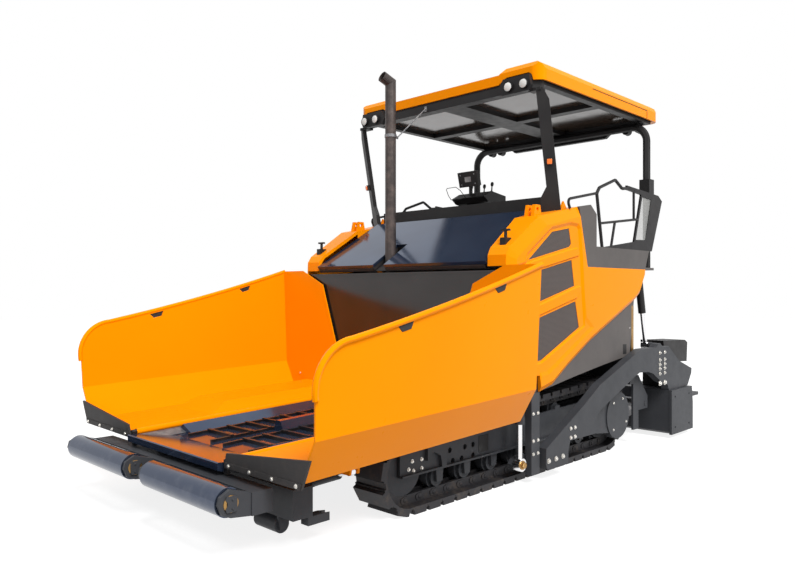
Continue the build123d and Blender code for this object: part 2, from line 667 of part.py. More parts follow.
def lift_parts():
    """Barrel with its bore, and rod with its eye, along one line."""
    top = Vector(LIFT_TOP[0], LIFT_Y, LIFT_TOP[1])
    eye = Vector(LIFT_EYE[0], LIFT_Y, LIFT_EYE[1])
    along = (eye - top).normalized()
    end = top + along * LIFT_BARREL
    barrel = rod_between(top + along * 60, end, LIFT_BARREL_R)
    barrel -= rod_between(top + along * 72, end + along * 5, LIFT_ROD_R + FIT)
    barrel += rod_between(top + along * 22, top + along * 62, LIFT_ROD_R)
    barrel += rod_y(*LIFT_TOP, 45, LIFT_Y - 25, LIFT_Y + 25)
    barrel -= rod_y(*LIFT_TOP, 20 + FIT, LIFT_Y - 40, LIFT_Y + 40)
    rod = rod_between(end - along * 25, eye - along * 20, LIFT_ROD_R)
    rod += rod_y(*LIFT_EYE, 38, LIFT_Y - LIFT_EYE_HALF, LIFT_Y + LIFT_EYE_HALF)
    return barrel, rod


def lift_bracket():
    """Clevis under the platform for a lift cylinder's upper pin."""
    x, z = LIFT_TOP
    cheek = [(x - 55, FLOOR_Z[0]), (x + 55, FLOOR_Z[0]), (x + 30, z - 35), (x - 30, z - 35)]
    bracket = side_slab(cheek, LIFT_Y + 48, LIFT_Y + 30) + side_slab(cheek, LIFT_Y - 30, LIFT_Y - 48)
    return bracket + rod_y(x, z, 20, LIFT_Y - 48, LIFT_Y + 48)


# Augers

def auger():
    """Left auger: a tube with a flight that winds along it."""
    screw = rod_y(AUGER_X, AUGER_Z, AUGER_TUBE_R, *AUGER_Y)
    reach = AUGER_R - AUGER_TUBE_R + 6
    path = Helix(pitch=AUGER_PITCH, height=AUGER_Y[1] - AUGER_Y[0] - 60, radius=AUGER_R - reach / 2)
    flight = sweep(Plane(origin=path @ 0, x_dir=(1, 0, 0), z_dir=path % 0) * Rectangle(reach, 14),
                   path=path, is_frenet=True)
    screw += Pos(AUGER_X, AUGER_Y[0] + 30, AUGER_Z) * Rot(-90, 0, 0) * flight
    return screw - rod_y(AUGER_X, AUGER_Z, 30 + FIT, AUGER_Y[0] - 5, AUGER_Y[1] + 5)


def auger_frame():
    """Centre gear case on its hanger, and the outer hangers with their bearings."""
    case = rod_y(AUGER_X, AUGER_Z, 110, -AUGER_Y[0] + RUN, AUGER_Y[0] - RUN)
    case += block((AUGER_X - 60, AUGER_X + 60), (-AUGER_Y[0] + RUN, AUGER_Y[0] - RUN), (AUGER_Z, 900))
    case += block((AUGER_X - 60, FRAME_REAR), (-AUGER_Y[0] + RUN, AUGER_Y[0] - RUN), (880, 960))
    shaft = rod_y(AUGER_X, AUGER_Z, 30, AUGER_Y[0] - RUN - 5, AUGER_Y[1] + RUN + 30)
    case += shaft + mirrored(shaft)
    plate = side_slab([(AUGER_X - 60, 380), (AUGER_X - 60, 520), (-1910, 780), (-1780, 780),
                       (-1780, 170), (-1910, 170), (-1910, 380)],
                      AUGER_Y[1] + RUN + 24, AUGER_Y[1] + RUN)
    arm = block((-1910, FRAME_REAR), (FRAME_HALF - 100, AUGER_Y[1] + RUN + 24), (690, 780))
    return case + plate + mirrored(plate) + arm + mirrored(arm)


# Hopper: conveyor deck, slats, wings

def conveyor_deck():
    """Deck plate with the covers beside and between the chains and the sloped front apron."""
    start = FRAME_FRONT + 30
    plate = block((FRAME_REAR - 60, LIP_X), (-DECK_HALF, DECK_HALF), (LIP_Z - DECK_PLATE, LIP_Z))
    side = [(DECK_HALF, LIP_Z), (DECK_HALF, LIP_Z + 30), (DECK_HALF - 60, LIP_Z + 70),
            (CHANNEL_Y[1] + 40, LIP_Z + 12), (CHANNEL_Y[1] + 20, LIP_Z)]
    ridge = [(-CHANNEL_Y[0] + 8, LIP_Z), (-30, LIP_Z + 90), (30, LIP_Z + 90), (CHANNEL_Y[0] - 8, LIP_Z)]
    apron = [(LIP_X - 330, LIP_Z), (LIP_X + 30, LIP_Z + 56), (LIP_X + 40, LIP_Z + 50),
             (LIP_X + 40, LIP_Z), (LIP_X, LIP_Z - DECK_PLATE), (LIP_X, LIP_Z)]
    pieces = [plate, cross_slab(ridge, start, 2150), side_slab(apron, DECK_HALF, -DECK_HALF)]
    return [tipped(piece) for piece in pieces + both(cross_slab(side, start, 2700))]


def conveyor_slats():
    """Drag chains and slats in the two channels."""
    slats = Part()
    inner, outer = CHANNEL_Y
    for low, high in ((inner, outer), (-outer, -inner)):
        for y in (low + 12, high - 12):
            slats += block((FRAME_REAR - 40, 2750), (y - 12, y + 12), (LIP_Z, LIP_Z + 22))
        for i in range(int((2740 - FRAME_REAR) // SLAT_PITCH)):
            x = FRAME_REAR + 60 + i * SLAT_PITCH
            slats += block((x, x + 26), (low, high), (LIP_Z, LIP_Z + SLAT_HEIGHT))
    return tipped(slats)


def wing():
    """Left hopper wing: floor, chamfer, leaning wall with its rim, rear end wall."""
    floor_z = LIP_Z + HINGE_LIFT
    front = LIP_X - 10
    section = ribbon([(HINGE_Y + 14, floor_z), (FLOOR_Y, floor_z - 6), (BEND_Y, LIP_Z + BEND_LIFT)],
                     WING_PLATE)
    rear = WING_REAR - 100
    knuckle = rod_x(HINGE_Y, floor_z, HINGE_R + 8, WING_REAR + 40, front - 40)
    shell = cross_slab(section, rear, front) + wing_wall(rear, front) + hump(0, floor_z) + knuckle
    shell -= hump(WING_PLATE, floor_z)
    shell -= rod_x(HINGE_Y, floor_z, HINGE_R + FIT, 600, front + 100)
    shell = tipped(shell) - block((400, WING_REAR), (HINGE_Y - 100, 1900), (400, 2200))
    base = deck_z(WING_REAR)
    floor_rear = base + HINGE_LIFT
    end = [(HUMP_Y[0] + 10, floor_rear + 6), (HUMP_Y[1] + 10, floor_rear + HUMP_RISE - 6),
           (HUMP_Y[2] - 10, floor_rear + HUMP_RISE - 6), (HUMP_Y[3] - 10, floor_rear + 6),
           (FLOOR_Y, floor_rear + 6), (BEND_Y - 8, base + BEND_LIFT),
           (WALL_TOP_Y - 6, base + WALL_LIFT), (1400, base + WALL_LIFT), (1050, base + 1225),
           (810, base + 540)]
    return shell + cross_slab(end, WING_REAR, WING_REAR + WING_PLATE)


def wing_wall(rear, front):
    """Leaning outer wall with its curved top, the rim along it and two notches under the rim."""
    lean = Vector(0, WALL_TOP_Y - BEND_Y, WALL_LIFT - BEND_LIFT).normalized()
    plane = Plane(origin=(0, BEND_Y, LIP_Z + BEND_LIFT), x_dir=(1, 0, 0),
                  z_dir=Vector(1, 0, 0).cross(lean))
    height = hypot(WALL_TOP_Y - BEND_Y, WALL_LIFT - BEND_LIFT)
    rear_top = (rear, height + 8)
    crest, knee, chin = (2830, height * 0.57), (3050, height * 0.47), (front, height * 0.24)
    top = ThreePointArc(rear_top, (1840, height * 0.745), crest)
    brow = ThreePointArc(crest, knee, chin)
    outline = make_face([top, brow, Line(chin, (front, 0)), Line((front, 0), (rear, 0)),
                         Line((rear, 0), rear_top)])
    for share in NOTCH_SHARES:
        place = Plane(origin=top @ share, x_dir=top % share, z_dir=(0, 0, 1))
        outline -= place * face([(-75, -RIM_R), (75, -RIM_R), (45, -RIM_R - 45), (-45, -RIM_R - 45)])
    rim_path = plane * Wire([top, brow])
    rim = sweep(Plane(origin=rim_path @ 0, z_dir=rim_path % 0) * RegularPolygon(RIM_R, 8), path=rim_path)
    return extrude(plane * outline, WING_PLATE) + rim


def hump(inset, floor_z):
    """Cover over the track in the wing's floor, or the space under it with an inset."""
    low = floor_z - 20 if inset else floor_z
    foot_in, top_in, top_out, foot_out = HUMP_Y
    section = [(foot_in + inset, low), (top_in + inset / 2, floor_z + HUMP_RISE - inset),
               (top_out - inset / 2, floor_z + HUMP_RISE - inset), (foot_out - inset, low)]
    top_x, foot_x = HUMP_FRONT
    reach = [(WING_REAR - 140, low - 30), (WING_REAR - 140, floor_z + 400),
             (top_x - inset, floor_z + 400), (top_x - inset, floor_z + HUMP_RISE - inset),
             (foot_x - inset * 2, low), (foot_x - inset * 2, low - 30)]
    return cross_slab(section, WING_REAR - 130, foot_x) & side_slab(reach, 1600, 700)


def wing_hinge_pins():
    """Hinge pins along the deck's edges, on their end lugs."""
    z = LIP_Z + HINGE_LIFT
    pin = rod_x(HINGE_Y, z, HINGE_R, WING_REAR - 20, LIP_X - 10)
    for low, high in ((WING_REAR - 20, WING_REAR + 30), (LIP_X - 40, LIP_X - 10)):
        pin += block((low, high), (DECK_HALF, HINGE_Y), (LIP_Z - 40, z + 10))
    pins = tipped(pin)
    return pins, mirrored(pins)


def wing_flap():
    """Rubber apron at the wing's front edge."""
    z = LIP_Z + 20
    outline = [(HINGE_Y, z), (HINGE_Y + 30, z + 105), (1400, z + 175), (1672, z + 205),
               (1580, z + 10)]
    return tipped(cross_slab(outline, LIP_X - 10, LIP_X + 8))


def back_wall():
    half, step = BACK_WALL_HALF, FRAME_HALF
    outline = [(-half, 745), (-step, 745), (-step, 610), (step, 610), (step, 745), (half, 745),
               (half, BACK_WALL_TOP), (-half, BACK_WALL_TOP)]
    wall = cross_slab(outline, *BACK_WALL_X)
    wall += block((BACK_WALL_X[0], BACK_WALL_X[1] + 8), (-half, half),
                  (BACK_WALL_TOP - 14, BACK_WALL_TOP))
    return wall - conveyor_space()


# Push rollers on their swinging beam

def push_beam():
    beam = block(BAR_X, (-BAR_HALF, BAR_HALF), BAR_Z)
    ear = [(BAR_X[1] - 5, BAR_Z[0]), (BAR_X[1] - 5, BAR_Z[1]), (PUSH_X + 5, PUSH_Z + 88),
           (PUSH_X + 75, PUSH_Z + 50), (PUSH_X + 88, PUSH_Z), (PUSH_X + 60, PUSH_Z - 66),
           (PUSH_X, PUSH_Z - 90)]
    for y in (PUSH_Y[0] - RUN, PUSH_Y[1] + RUN + PUSH_PLATE):
        ears = side_slab(ear, y, y - PUSH_PLATE)
        beam += ears + mirrored(ears)
    axle = rod_y(PUSH_X, PUSH_Z, 30, PUSH_Y[0] - RUN - 5, PUSH_Y[1] + RUN + 5)
    beam += axle + mirrored(axle)
    lug = block((PIVOT_X, BAR_X[0] + 5), (-70, 70), (345, 425)) + rod_z(PIVOT_X, 0, 70, 345, 425)
    return beam + lug - rod_z(PIVOT_X, 0, 30 + FIT, 300, 480)


def crosshead():
    """Beam across the front that carries the push beam."""
    return block(HEAD_X, (-HEAD_HALF, HEAD_HALF), HEAD_Z)


def pivot_bracket():
    """Fork on the crosshead that holds the push beam's upright pin."""
    fork = Part()
    for low, high in ((300, 337), (433, 470)):
        fork += block((HEAD_X[1], PIVOT_X), (-85, 85), (low, high)) + rod_z(PIVOT_X, 0, 60, low, high)
    fork += block((HEAD_X[1] - 60, HEAD_X[1] + 1), (-85, 85), (HEAD_Z[1], 470))
    return fork + rod_z(PIVOT_X, 0, 30, 300, 470)


def push_roller():
    roller = rod_y(PUSH_X, PUSH_Z, PUSH_R, *PUSH_Y)
    return roller - rod_y(PUSH_X, PUSH_Z, 30 + FIT, PUSH_Y[0] - 5, PUSH_Y[1] + 5)


def head_fittings():
    """Skid roller and forked scraper under each end of the crosshead."""
    roller = rod_y(2860, HEAD_Z[0] - 70, 62, 760, 1010)
    for y in (748, 1022):
        roller += side_slab([(2800, HEAD_Z[0]), (2830, 100), (2890, 100), (2905, HEAD_Z[0])],
                            y + 12, y - 12)
    rear = HEAD_X[0]
    fork = plan_slab([(rear + 40, 1120), (rear - 100, 1120), (rear - 150, 1150), (rear - 100, 1165),
                      (rear - 100, 1185), (rear - 150, 1200), (rear + 40, 1200)],
                     HEAD_Z[0] - 60, HEAD_Z[0])
    return [roller, fork]


# Wing cylinders

def ram_parts():
    foot = Vector(RAM_X, *RAM_FOOT)
    head = Vector(RAM_X, *RAM_HEAD)
    along = (head - foot).normalized()
    end = foot + along * RAM_BARREL
    barrel = rod_between(foot + along * 55, end, RAM_BARREL_R)
    barrel -= rod_between(foot + along * 70, end + along * 5, RAM_ROD_R + FIT)
    barrel += rod_between(foot + along * 18, foot + along * 56, RAM_ROD_R)
    barrel += rod_x(*RAM_FOOT, 38, RAM_X - 22, RAM_X + 22)
    barrel -= rod_x(*RAM_FOOT, 16 + FIT, RAM_X - 40, RAM_X + 40)
    rod = rod_between(foot + along * 76, head - along * 15, RAM_ROD_R)
    rod += rod_x(*RAM_HEAD, 34, RAM_X - 22, RAM_X + 22)
    return tipped(barrel), tipped(rod)


def ram_bracket():
    """Clevis on the front beam for a wing cylinder's lower pin."""
    y, z = RAM_FOOT
    beam = FRONT_BEAM_Y[1]
    cheek = [(beam, z - 30), (y + 25, z - 30), (y + 30, z + 25), (y - 5, z + 42), (beam, z + 110)]
    bracket = rod_x(y, z, 16, RAM_X - 44, RAM_X + 44)
    for x in (RAM_X - 44, RAM_X + 28):
        bracket += cross_slab(cheek, x, x + 16)
    return tipped(bracket)


def ram_lug():
    """Lugs under a wing's floor either side of the cylinder's eye."""
    floor = LIP_Z + HINGE_LIFT + WING_PLATE / 2
    lug = Part()
    for x in (RAM_X - 48, RAM_X + 28):
        lug += cross_slab([(RAM_HEAD[0] - 40, RAM_HEAD[1] - 20), (RAM_HEAD[0] + 40, RAM_HEAD[1] - 20),
                           (RAM_HEAD[0] + 70, floor), (RAM_HEAD[0] - 70, floor)], x, x + 20)
    return tipped(lug)


# Body panels, hood, platform

def side_panel():
    """Left body side: bevelled skin with stepped recesses, raised bands and the shoulder."""
    inner, level = PANEL_IN, PANEL_Y - BEVEL_DEPTH
    front = BACK_WALL_X[0]
    flush = [PANEL_END, (-1905, FLOOR_Z[0])]
    lower = [(-1880, 1820), (-1810, 1715), (-1720, 1658), (-1590, 1600), (-709, 1238), (-266, 1014),
             (0, 860), (220, 812), (235, 965), (front, 965)]
    outline = SHOULDER + flush + lower
    widths = SHOULDER_BEVELS + [0] * 3 + [LOWER_BEVEL] * 7 + [0] * 2 + SHOULDER_BEVELS[:1]
    skin = side_slab(outline, level, inner)
    skin += tapered_slab(inset(outline, widths), outline, PANEL_Y, level)
    for edge, depth, draft in RECESSES:
        skin -= tapered_slab(edge, inset(edge, draft), PANEL_Y, PANEL_Y - depth)
    for band in BANDS:
        skin += tapered_slab(inset(band, BAND_DRAFT), band, PANEL_Y - 2, PANEL_Y - RECESS_DEPTH)
    for opening in GRILLES:
        skin -= side_slab(opening, PANEL_Y + 10, inner - 10)
    cap = ribbon(SHOULDER, PANEL_PLATE)
    shoulder = side_slab(cap, inner, SHOULDER_IN[1])
    web = SHOULDER[:5] + [(SHOULDER[4][0], 2440), (front - 100, SHOULDER[0][1])]
    shoulder += side_slab(web, SHOULDER_IN[1] + 40, SHOULDER_IN[1])
    taper = plan_slab([(900, SHOULDER_IN[0]), (HOOD_LOW[0], SHOULDER_IN[0]),
                       (HOOD_HIGH[0], SHOULDER_IN[1]), (-600, SHOULDER_IN[1] - 2), (-600, 900),
                       (900, 900)], 1500, 2700)
    return skin + (shoulder - taper)


GRILLES = (
    [(410, 2020), (10, 2300), (-290, 2350), (-330, 2200), (-300, 2170)],
    [(565, 1862), (-340, 2044), (-390, 1790), (565, 1560)],
    [(565, 1418), (-410, 1640), (-480, 1380), (195, 1102), (565, 1064)],
)


def grilles():
    """Mesh plates set in the side openings."""
    plates = []
    for opening in GRILLES:
        plates += both(side_slab(opening, PANEL_IN + 14, PANEL_IN + 2))
    return plates


def lower_panel():
    """Grey skirt below the body side, arched over the track."""
    arch = ThreePointArc((-1600, 1030), (-900, 955), (-30, 841))
    skirt = make_face([Line((-30, 841), (220, 812)), Line((220, 812), (220, 990)),
                       Line((220, 990), (-1700, 1700)), Line((-1700, 1700), (-1700, 1640)),
                       Line((-1700, 1640), (-1600, 1030)), arch])
    outer = PANEL_Y - PANEL_PLATE
    return side_slab(skirt, outer, outer - LOWER_PANEL_PLATE)


def hood():
    """Hinged engine hood with the slot that clears the exhaust."""
    down = Vector(HOOD_LOW[0] - HOOD_HIGH[0], 0, HOOD_LOW[1] - HOOD_HIGH[1])
    plane = Plane(origin=(HOOD_HIGH[0], 0, HOOD_HIGH[1]), x_dir=(0, 1, 0),
                  z_dir=Vector(0, 1, 0).cross(down.normalized()))
    length = down.length
    sheet = face([(-HOOD_HALF[1], HOOD_TRIM), (HOOD_HALF[1], HOOD_TRIM), (HOOD_HALF[0], length),
                  (-HOOD_HALF[0], length)])
    slot = face([(PIPE_Y - SLOT_HALF, length + 10), (PIPE_Y + SLOT_HALF, length + 10),
                 (PIPE_Y + SLOT_HALF, length - SLOT_LENGTH), (PIPE_Y - SLOT_HALF, length - SLOT_LENGTH)])
    skin = extrude(plane * (sheet - slot), -HOOD_PLATE)
    x, z = HOOD_PIN
    leaf = [(x, z + KNUCKLE_R), (x + 55, z + 3), (x + 42, z - 24), (x, z - KNUCKLE_R)]
    for y in HOOD_KNUCKLES:
        skin += side_slab(leaf, y + 50, y - 50) + rod_y(x, z, KNUCKLE_R, y - 50, y + 50)
        skin -= rod_y(x, z, KNUCKLE_R / 2 + FIT, y - 60, y + 60)
    return skin


def hood_pins():
    """Pins for the hood's knuckles, each between two lugs on the deck behind it."""
    x, z = HOOD_PIN
    pins = Part()
    for y in HOOD_KNUCKLES:
        pins += rod_y(x, z, KNUCKLE_R / 2, y - 70, y + 70)
        for low in (y - 70, y + 54):
            pins += rod_y(x, z, KNUCKLE_R - 1, low, low + 16)
            pins += block((x - 40, x), (low, low + 16), (z - 8, z + 10))
    return pins


def exhaust_pipe():
    """Upright pipe with a mitred outlet."""
    path = Polyline((PIPE_X, PIPE_Y, MUFFLER_TOP), (PIPE_X, PIPE_Y, PIPE_TOP),
                    (PIPE_X + 105, PIPE_Y - 20, PIPE_TOP + 50))
    ring = RegularPolygon(PIPE_R, 20) - RegularPolygon(PIPE_R - PIPE_WALL, 20)
    return sweep(Plane(origin=path @ 0, z_dir=path % 0) * ring, path=path, transition=Transition.RIGHT)


def engine():
    return block((-350, 560), (-420, 420), (FRAME_Z[1], ENGINE_TOP))


def muffler():
    """Silencer box on the front of the engine."""
    return [block((440, 700), (-650, 100), (ENGINE_TOP, MUFFLER_TOP))]


def platform():
    """Operators' floor with its side walls, and the steps up the tractor's rear."""
    inner = PANEL_IN
    floor = block((PLATFORM_REAR, BULKHEAD_X[1]), (-inner, inner), FLOOR_Z)
    floor += block(BULKHEAD_X, (-inner, inner), (FLOOR_Z[1], COWL_Z[0]))
    side = [SHOULDER[-1], (-683, 2612), (-800, 2524), (-800, COAMING_Z), (PLATFORM_REAR, COAMING_Z),
            (-1905, FLOOR_Z[0]), PANEL_END]
    walls = side_slab(side, PANEL_Y, inner)
    foot = block((REAR_POST_X[0] - 20, PLATFORM_REAR), (POST_Y[0] - 20, POST_Y[1] + 20), FLOOR_Z)
    pieces = [floor + walls + mirrored(walls) + foot + mirrored(foot)]
    for z in STEP_HEIGHTS:
        pieces += both(block((FRAME_REAR - STEP_REACH, FRAME_REAR), STEP_Y, (z, z + 25)))
    return pieces


def dash_cowl():
    """Deck behind the hood and the cowl between the canopy's front posts."""
    half = SHOULDER_IN[1] - 4
    deck = block((BULKHEAD_X[0], HOOD_HIGH[0] - 50), (-half, half), (COWL_Z[0], COWL_Z[0] + 18))
    low, step, top = COWL_Z[0] + 18, COWL_Z[0] + 48, COWL_Z[1]
    wide = half + 66
    wall = [(-half, low), (half, low), (half, step), (wide, step), (wide, top), (-wide, top),
            (-wide, step), (-half, step)]
    return deck + cross_slab(wall, COWL_X - 28, COWL_X) + hood_pins()


def seats():
    """Pedestals of the two operator seats."""
    group = []
    for y in SEAT_YS:
        base = block((-1480, -1120), (y - 190, y + 190), (FLOOR_Z[1], FLOOR_Z[1] + 60))
        column = block((-1420, -1180), (y - 130, y + 130), (FLOOR_Z[1] + 60, SEAT_Z - 40))
        group.append(base + column + block((-1520, -1100), (y - 200, y + 200), (SEAT_Z - 40, SEAT_Z)))
    return group


def seat_cushions():
    """Cushion and low back of each seat, with rounded edges."""
    group = []
    top = SEAT_BACK_TOP
    for y in SEAT_YS:
        cushion = block((-1570, -1060), (y - 245, y + 245), (SEAT_Z, SEAT_Z + 110))
        upper = cushion.edges().filter_by(Axis.Z) + cushion.faces().sort_by(Axis.Z)[-1].edges()
        group.append(fillet(upper, 35))
        back = [(-1560, SEAT_Z + 110), (-1450, SEAT_Z + 110), (-1500, top - 40), (-1530, top),
                (-1590, top), (-1615, top - 40)]
        group.append(side_slab(back, y + 225, y - 225))
    return group


def console():
    """Control desk with its display on a column."""
    y_low, y_high = CONSOLE_Y
    desk = side_slab([(-620, 2815), (-760, 2885), (-1035, 2850), (-1035, 2790), (-860, 2740),
                      (-700, 2760)], y_high, y_low)
    column = block((-900, -780), (-280, -120), (FLOOR_Z[1], 2800)) - desk
    screen = side_slab([(-735, 2960), (-690, 3130), (-745, 3145), (-790, 2975)], -70, -350)
    stem = rod_z(-770, -210, 22, 2850, 2990) - desk - screen
    return [desk, column, screen, stem]


def handrails():
    """Loop beside each seat with its lower rail, the long rail forward and the screen's frame."""
    y = PANEL_IN + RAIL_R
    loop = tube_along([(-955, y, COAMING_Z - 50), (-835, y, 2745), (-890, y, 2808), (-1230, y, 2925),
                       (-1385, y, 2848), (-1500, y, 2862)], 40, RAIL_R)
    rails = loop + rod_between((-905, y, 2440), (-1745, y, 2540), RAIL_R * 0.8)
    rails += rod_between((-1659, y, 2530), (-1659, y, 2860), RAIL_R * 0.8)
    rails += rod_between((-1134, y, COAMING_Z), (-1222, y, 2475), RAIL_R * 0.8)
    rails += tube_along([(-335, y, 2500), (-262, y, 2632), (-835, y, 2745)], 40, RAIL_R * 0.8)
    rails -= block((PLATFORM_REAR, -600), (PANEL_IN, PANEL_Y), (2100, COAMING_Z)) + under_shoulder()
    border = [(-1480, 2845), (-1480, 2892), (-2265, 2852), (-2362, 2795), (-2092, COAMING_Z),
              (-955, COAMING_Z), (-1650, 2284), (-1826, 2822)]
    window = side_slab(SCREEN, PANEL_Y, PANEL_IN)
    return rails + (side_slab(border, y + 11, y - 11) - window)


def side_screen():
    """Clear pane in the frame beside the seats."""
    y = PANEL_IN + RAIL_R
    return side_slab(SCREEN, y + 4, y - 4)


def canopy_section(skin):
    """Cross-section of the roof, or of the space under it with a skin thickness."""
    half, top, edge = CANOPY_HALF, CANOPY_TOP, CANOPY_EDGE
    outline = [(half, edge), (half, top - 75), (half - 18, top - 30), (half - 62, top),
               (ROOF_RAIL_IN, top), (ROOF_RAIL_IN - 60, ROOF_MIDDLE)]
    outline += [(-y, z) for y, z in outline[::-1]]
    if not skin:
        return outline
    widths = [skin] * (len(outline) - 1) + [-skin]
    return inset(outline, widths)


# Canopy

def canopy_roof():
    """Roof shell with raised side rails, a lower middle, sloped rear and arches for the lamps."""
    top, edge, skin = CANOPY_TOP, CANOPY_EDGE, CANOPY_SKIN
    shell = cross_slab(canopy_section(0), CANOPY_REAR, CANOPY_FRONT) & canopy_plan(0)
    shell &= side_slab([(CANOPY_REAR, edge), (CANOPY_FRONT, edge), (CANOPY_FRONT, top - 50),
                        (CANOPY_FRONT - 40, top), (CANOPY_REAR + ROOF_SLOPE, top)],
                       CANOPY_HALF + 10, -CANOPY_HALF - 10)
    cavity = cross_slab(canopy_section(skin), LINER_REAR, CANOPY_FRONT - skin)
    shell -= cavity & canopy_plan(skin)
    arch = LAMP_ARCH + [(-y, z) for y, z in LAMP_ARCH[::-1]]
    return shell - cross_slab(arch, CANOPY_FRONT - skin - 1, CANOPY_FRONT + 1)


def canopy_plan(skin):
    """Rounded plan of the roof, or of the space inside its skin."""
    plan = RectangleRounded(CANOPY_FRONT - CANOPY_REAR - 2 * skin, 2 * (CANOPY_HALF - skin),
                            ROOF_CORNER - skin)
    low = CANOPY_EDGE - skin - 5
    return Pos((CANOPY_REAR + CANOPY_FRONT) / 2, 0, low) * extrude(plan, CANOPY_TOP - low)


def canopy_liner():
    """Black frame under the roof: header behind the front edge, cross bars, blind at the rear."""
    half, skin = POST_Y[0], CANOPY_SKIN
    low, high = LINER_Z
    front = CANOPY_FRONT - skin
    liner = block((LINER_REAR, front - 80), (-half, half), (low, high))
    for x in LINER_BAYS_X:
        for y in LINER_BAYS_Y:
            liner -= block(x, y, (low - 10, high + 10))
    for nose, z_low, z_high in ((CANOPY_FRONT, HEADER_LOW, CANOPY_EDGE), (front, CANOPY_EDGE, high)):
        liner += plan_slab([(front - 90, -half - 10), (nose - 85, -half - 10), (nose, 80 - half),
                            (nose, half - 80), (nose - 85, half + 10), (front - 90, half + 10)],
                           z_low, z_high)
    blind = cross_slab([(-800, low), (-680, low - 100), (680, low - 100), (800, low)], -2380, -2330)
    return [liner, blind]


def roof_panes():
    """Tinted panes in the liner's bays."""
    z = LINER_Z[0] + 50
    return [block(x, y, (z, z + 12)) for x in LINER_BAYS_X for y in LINER_BAYS_Y]


def canopy_posts():
    """Front posts that lean forward, and the hoop of bent tube at the rear."""
    posts = both(front_post())
    x, y = sum(REAR_POST_X) / 2, sum(POST_Y) / 2
    top = LINER_Z[0] - HOOP_R
    hoop = tube_along([(x, y, FLOOR_Z[1]), (x, y, top), (x, HOOP_JOIN, top)], 190, HOOP_R)
    sleeve = block((x - 62, x + 62), (y - 62, y + 62), (2870, 3050))
    posts += both(hoop + sleeve)
    bar = Plane(origin=(x, -HOOP_JOIN, top), x_dir=(1, 0, 0), z_dir=(0, 1, 0)) * RegularPolygon(HOOP_R, 8)
    posts.append(extrude(bar, 2 * HOOP_JOIN))
    return posts


def front_post():
    """Slab turned outwards about the upright, with a gusset at its foot."""
    plane = POST_PLANE
    rise = (HEADER_LOW - plane.origin.Z) / plane.y_dir.Z
    outline = [(-140, -120), (70, -120), (-52, rise - 110), (-112, rise), (-177, rise), (-170, rise - 80),
               (-84, 265), (-140, 158)]
    post = extrude(plane * face(outline), POST_DEPTH / 2, both=True)
    post -= under_shoulder() + block((-500, 300), (900, PANEL_Y), (HEADER_LOW, HEADER_LOW + 100))
    return post + block((CANOPY_FRONT - 90, CANOPY_FRONT), (1130, 1262), (HEADER_LOW - 30, HEADER_LOW))


def lamps():
    """Work lamps in their housings under the canopy's corners."""
    front = CANOPY_FRONT + LAMP_DEPTH
    housing = [(800, CANOPY_EDGE - 40), (850, HEADER_LOW - 25), (1160, HEADER_LOW - 25),
               (1185, CANOPY_EDGE - 50), (1165, CANOPY_EDGE + 56), (860, CANOPY_EDGE + 56)]
    group = both(cross_slab(housing, CANOPY_FRONT, front))
    for y in LAMP_YS:
        group += both(rod_x(y, LAMP_Z, LAMP_R, front, front + 24))
    for y in (940, 1100):
        group += both(rod_x(y, CANOPY_EDGE - 30 - LAMP_R - SEAT, LAMP_R, CANOPY_REAR + 130,
                            CANOPY_REAR + 200))
    return group


def markers():
    """Side markers on the front posts."""
    front = POST_PLANE.offset(POST_DEPTH / 2)
    return both(extrude(front * Pos(-50, 505) * Rectangle(60, 62), 34))


def shoulder_z(x):
    """Height of the body side's top line at station x."""
    for (x1, z1), (x0, z0) in zip(SHOULDER, SHOULDER[1:]):
        if x0 <= x <= x1:
            return z0 + (x - x0) * (z1 - z0) / (x1 - x0)
    return SHOULDER[-1][1]


def under_shoulder():
    """Space that the body side and its shoulder fill, to trim what stands on them."""
    return side_slab(SHOULDER + [(SHOULDER[-1][0], 1900), (SHOULDER[0][0], 1900)], PANEL_Y, 900)


def lifting_lugs():
    """Lifting ears and tie-down ears on the shoulders."""
    x, z = LUG_HOLE
    outline = [(x + 62, shoulder_z(x + 62)), (x - 62, shoulder_z(x - 62)), (x - 44, z + 42),
               (x + 36, z + 42)]
    group = []
    for outer, inner in (LUG_Y, LUG_Y_IN):
        ears = side_slab(outline, outer, inner)
        group += both(ears - rod_y(x, z, LUG_HOLE_R, inner - 5, outer + 5))
    ear = [(-310, shoulder_z(-310)), (-415, shoulder_z(-415)), (-360, shoulder_z(-360) + 75)]
    return group + both(side_slab(ear, 1282, 1262))


def stowage_pegs():
    """Upright pegs with a cross head in front of the lifting ears."""
    peg = block((PEG_X - 45, PEG_X + 45), (PEG_Y - 30, PEG_Y + 30), (2140, shoulder_z(PEG_X - 45) + 8))
    peg += rod_z(PEG_X, PEG_Y, 15, 2150, PEG_TOP)
    peg += block((PEG_X - 16, PEG_X + 16), (PEG_Y - 42, PEG_Y + 42), (PEG_TOP - 18, PEG_TOP))
    return both(peg - under_shoulder())


SIDES = (("left", lambda shape: shape), ("right", mirrored))


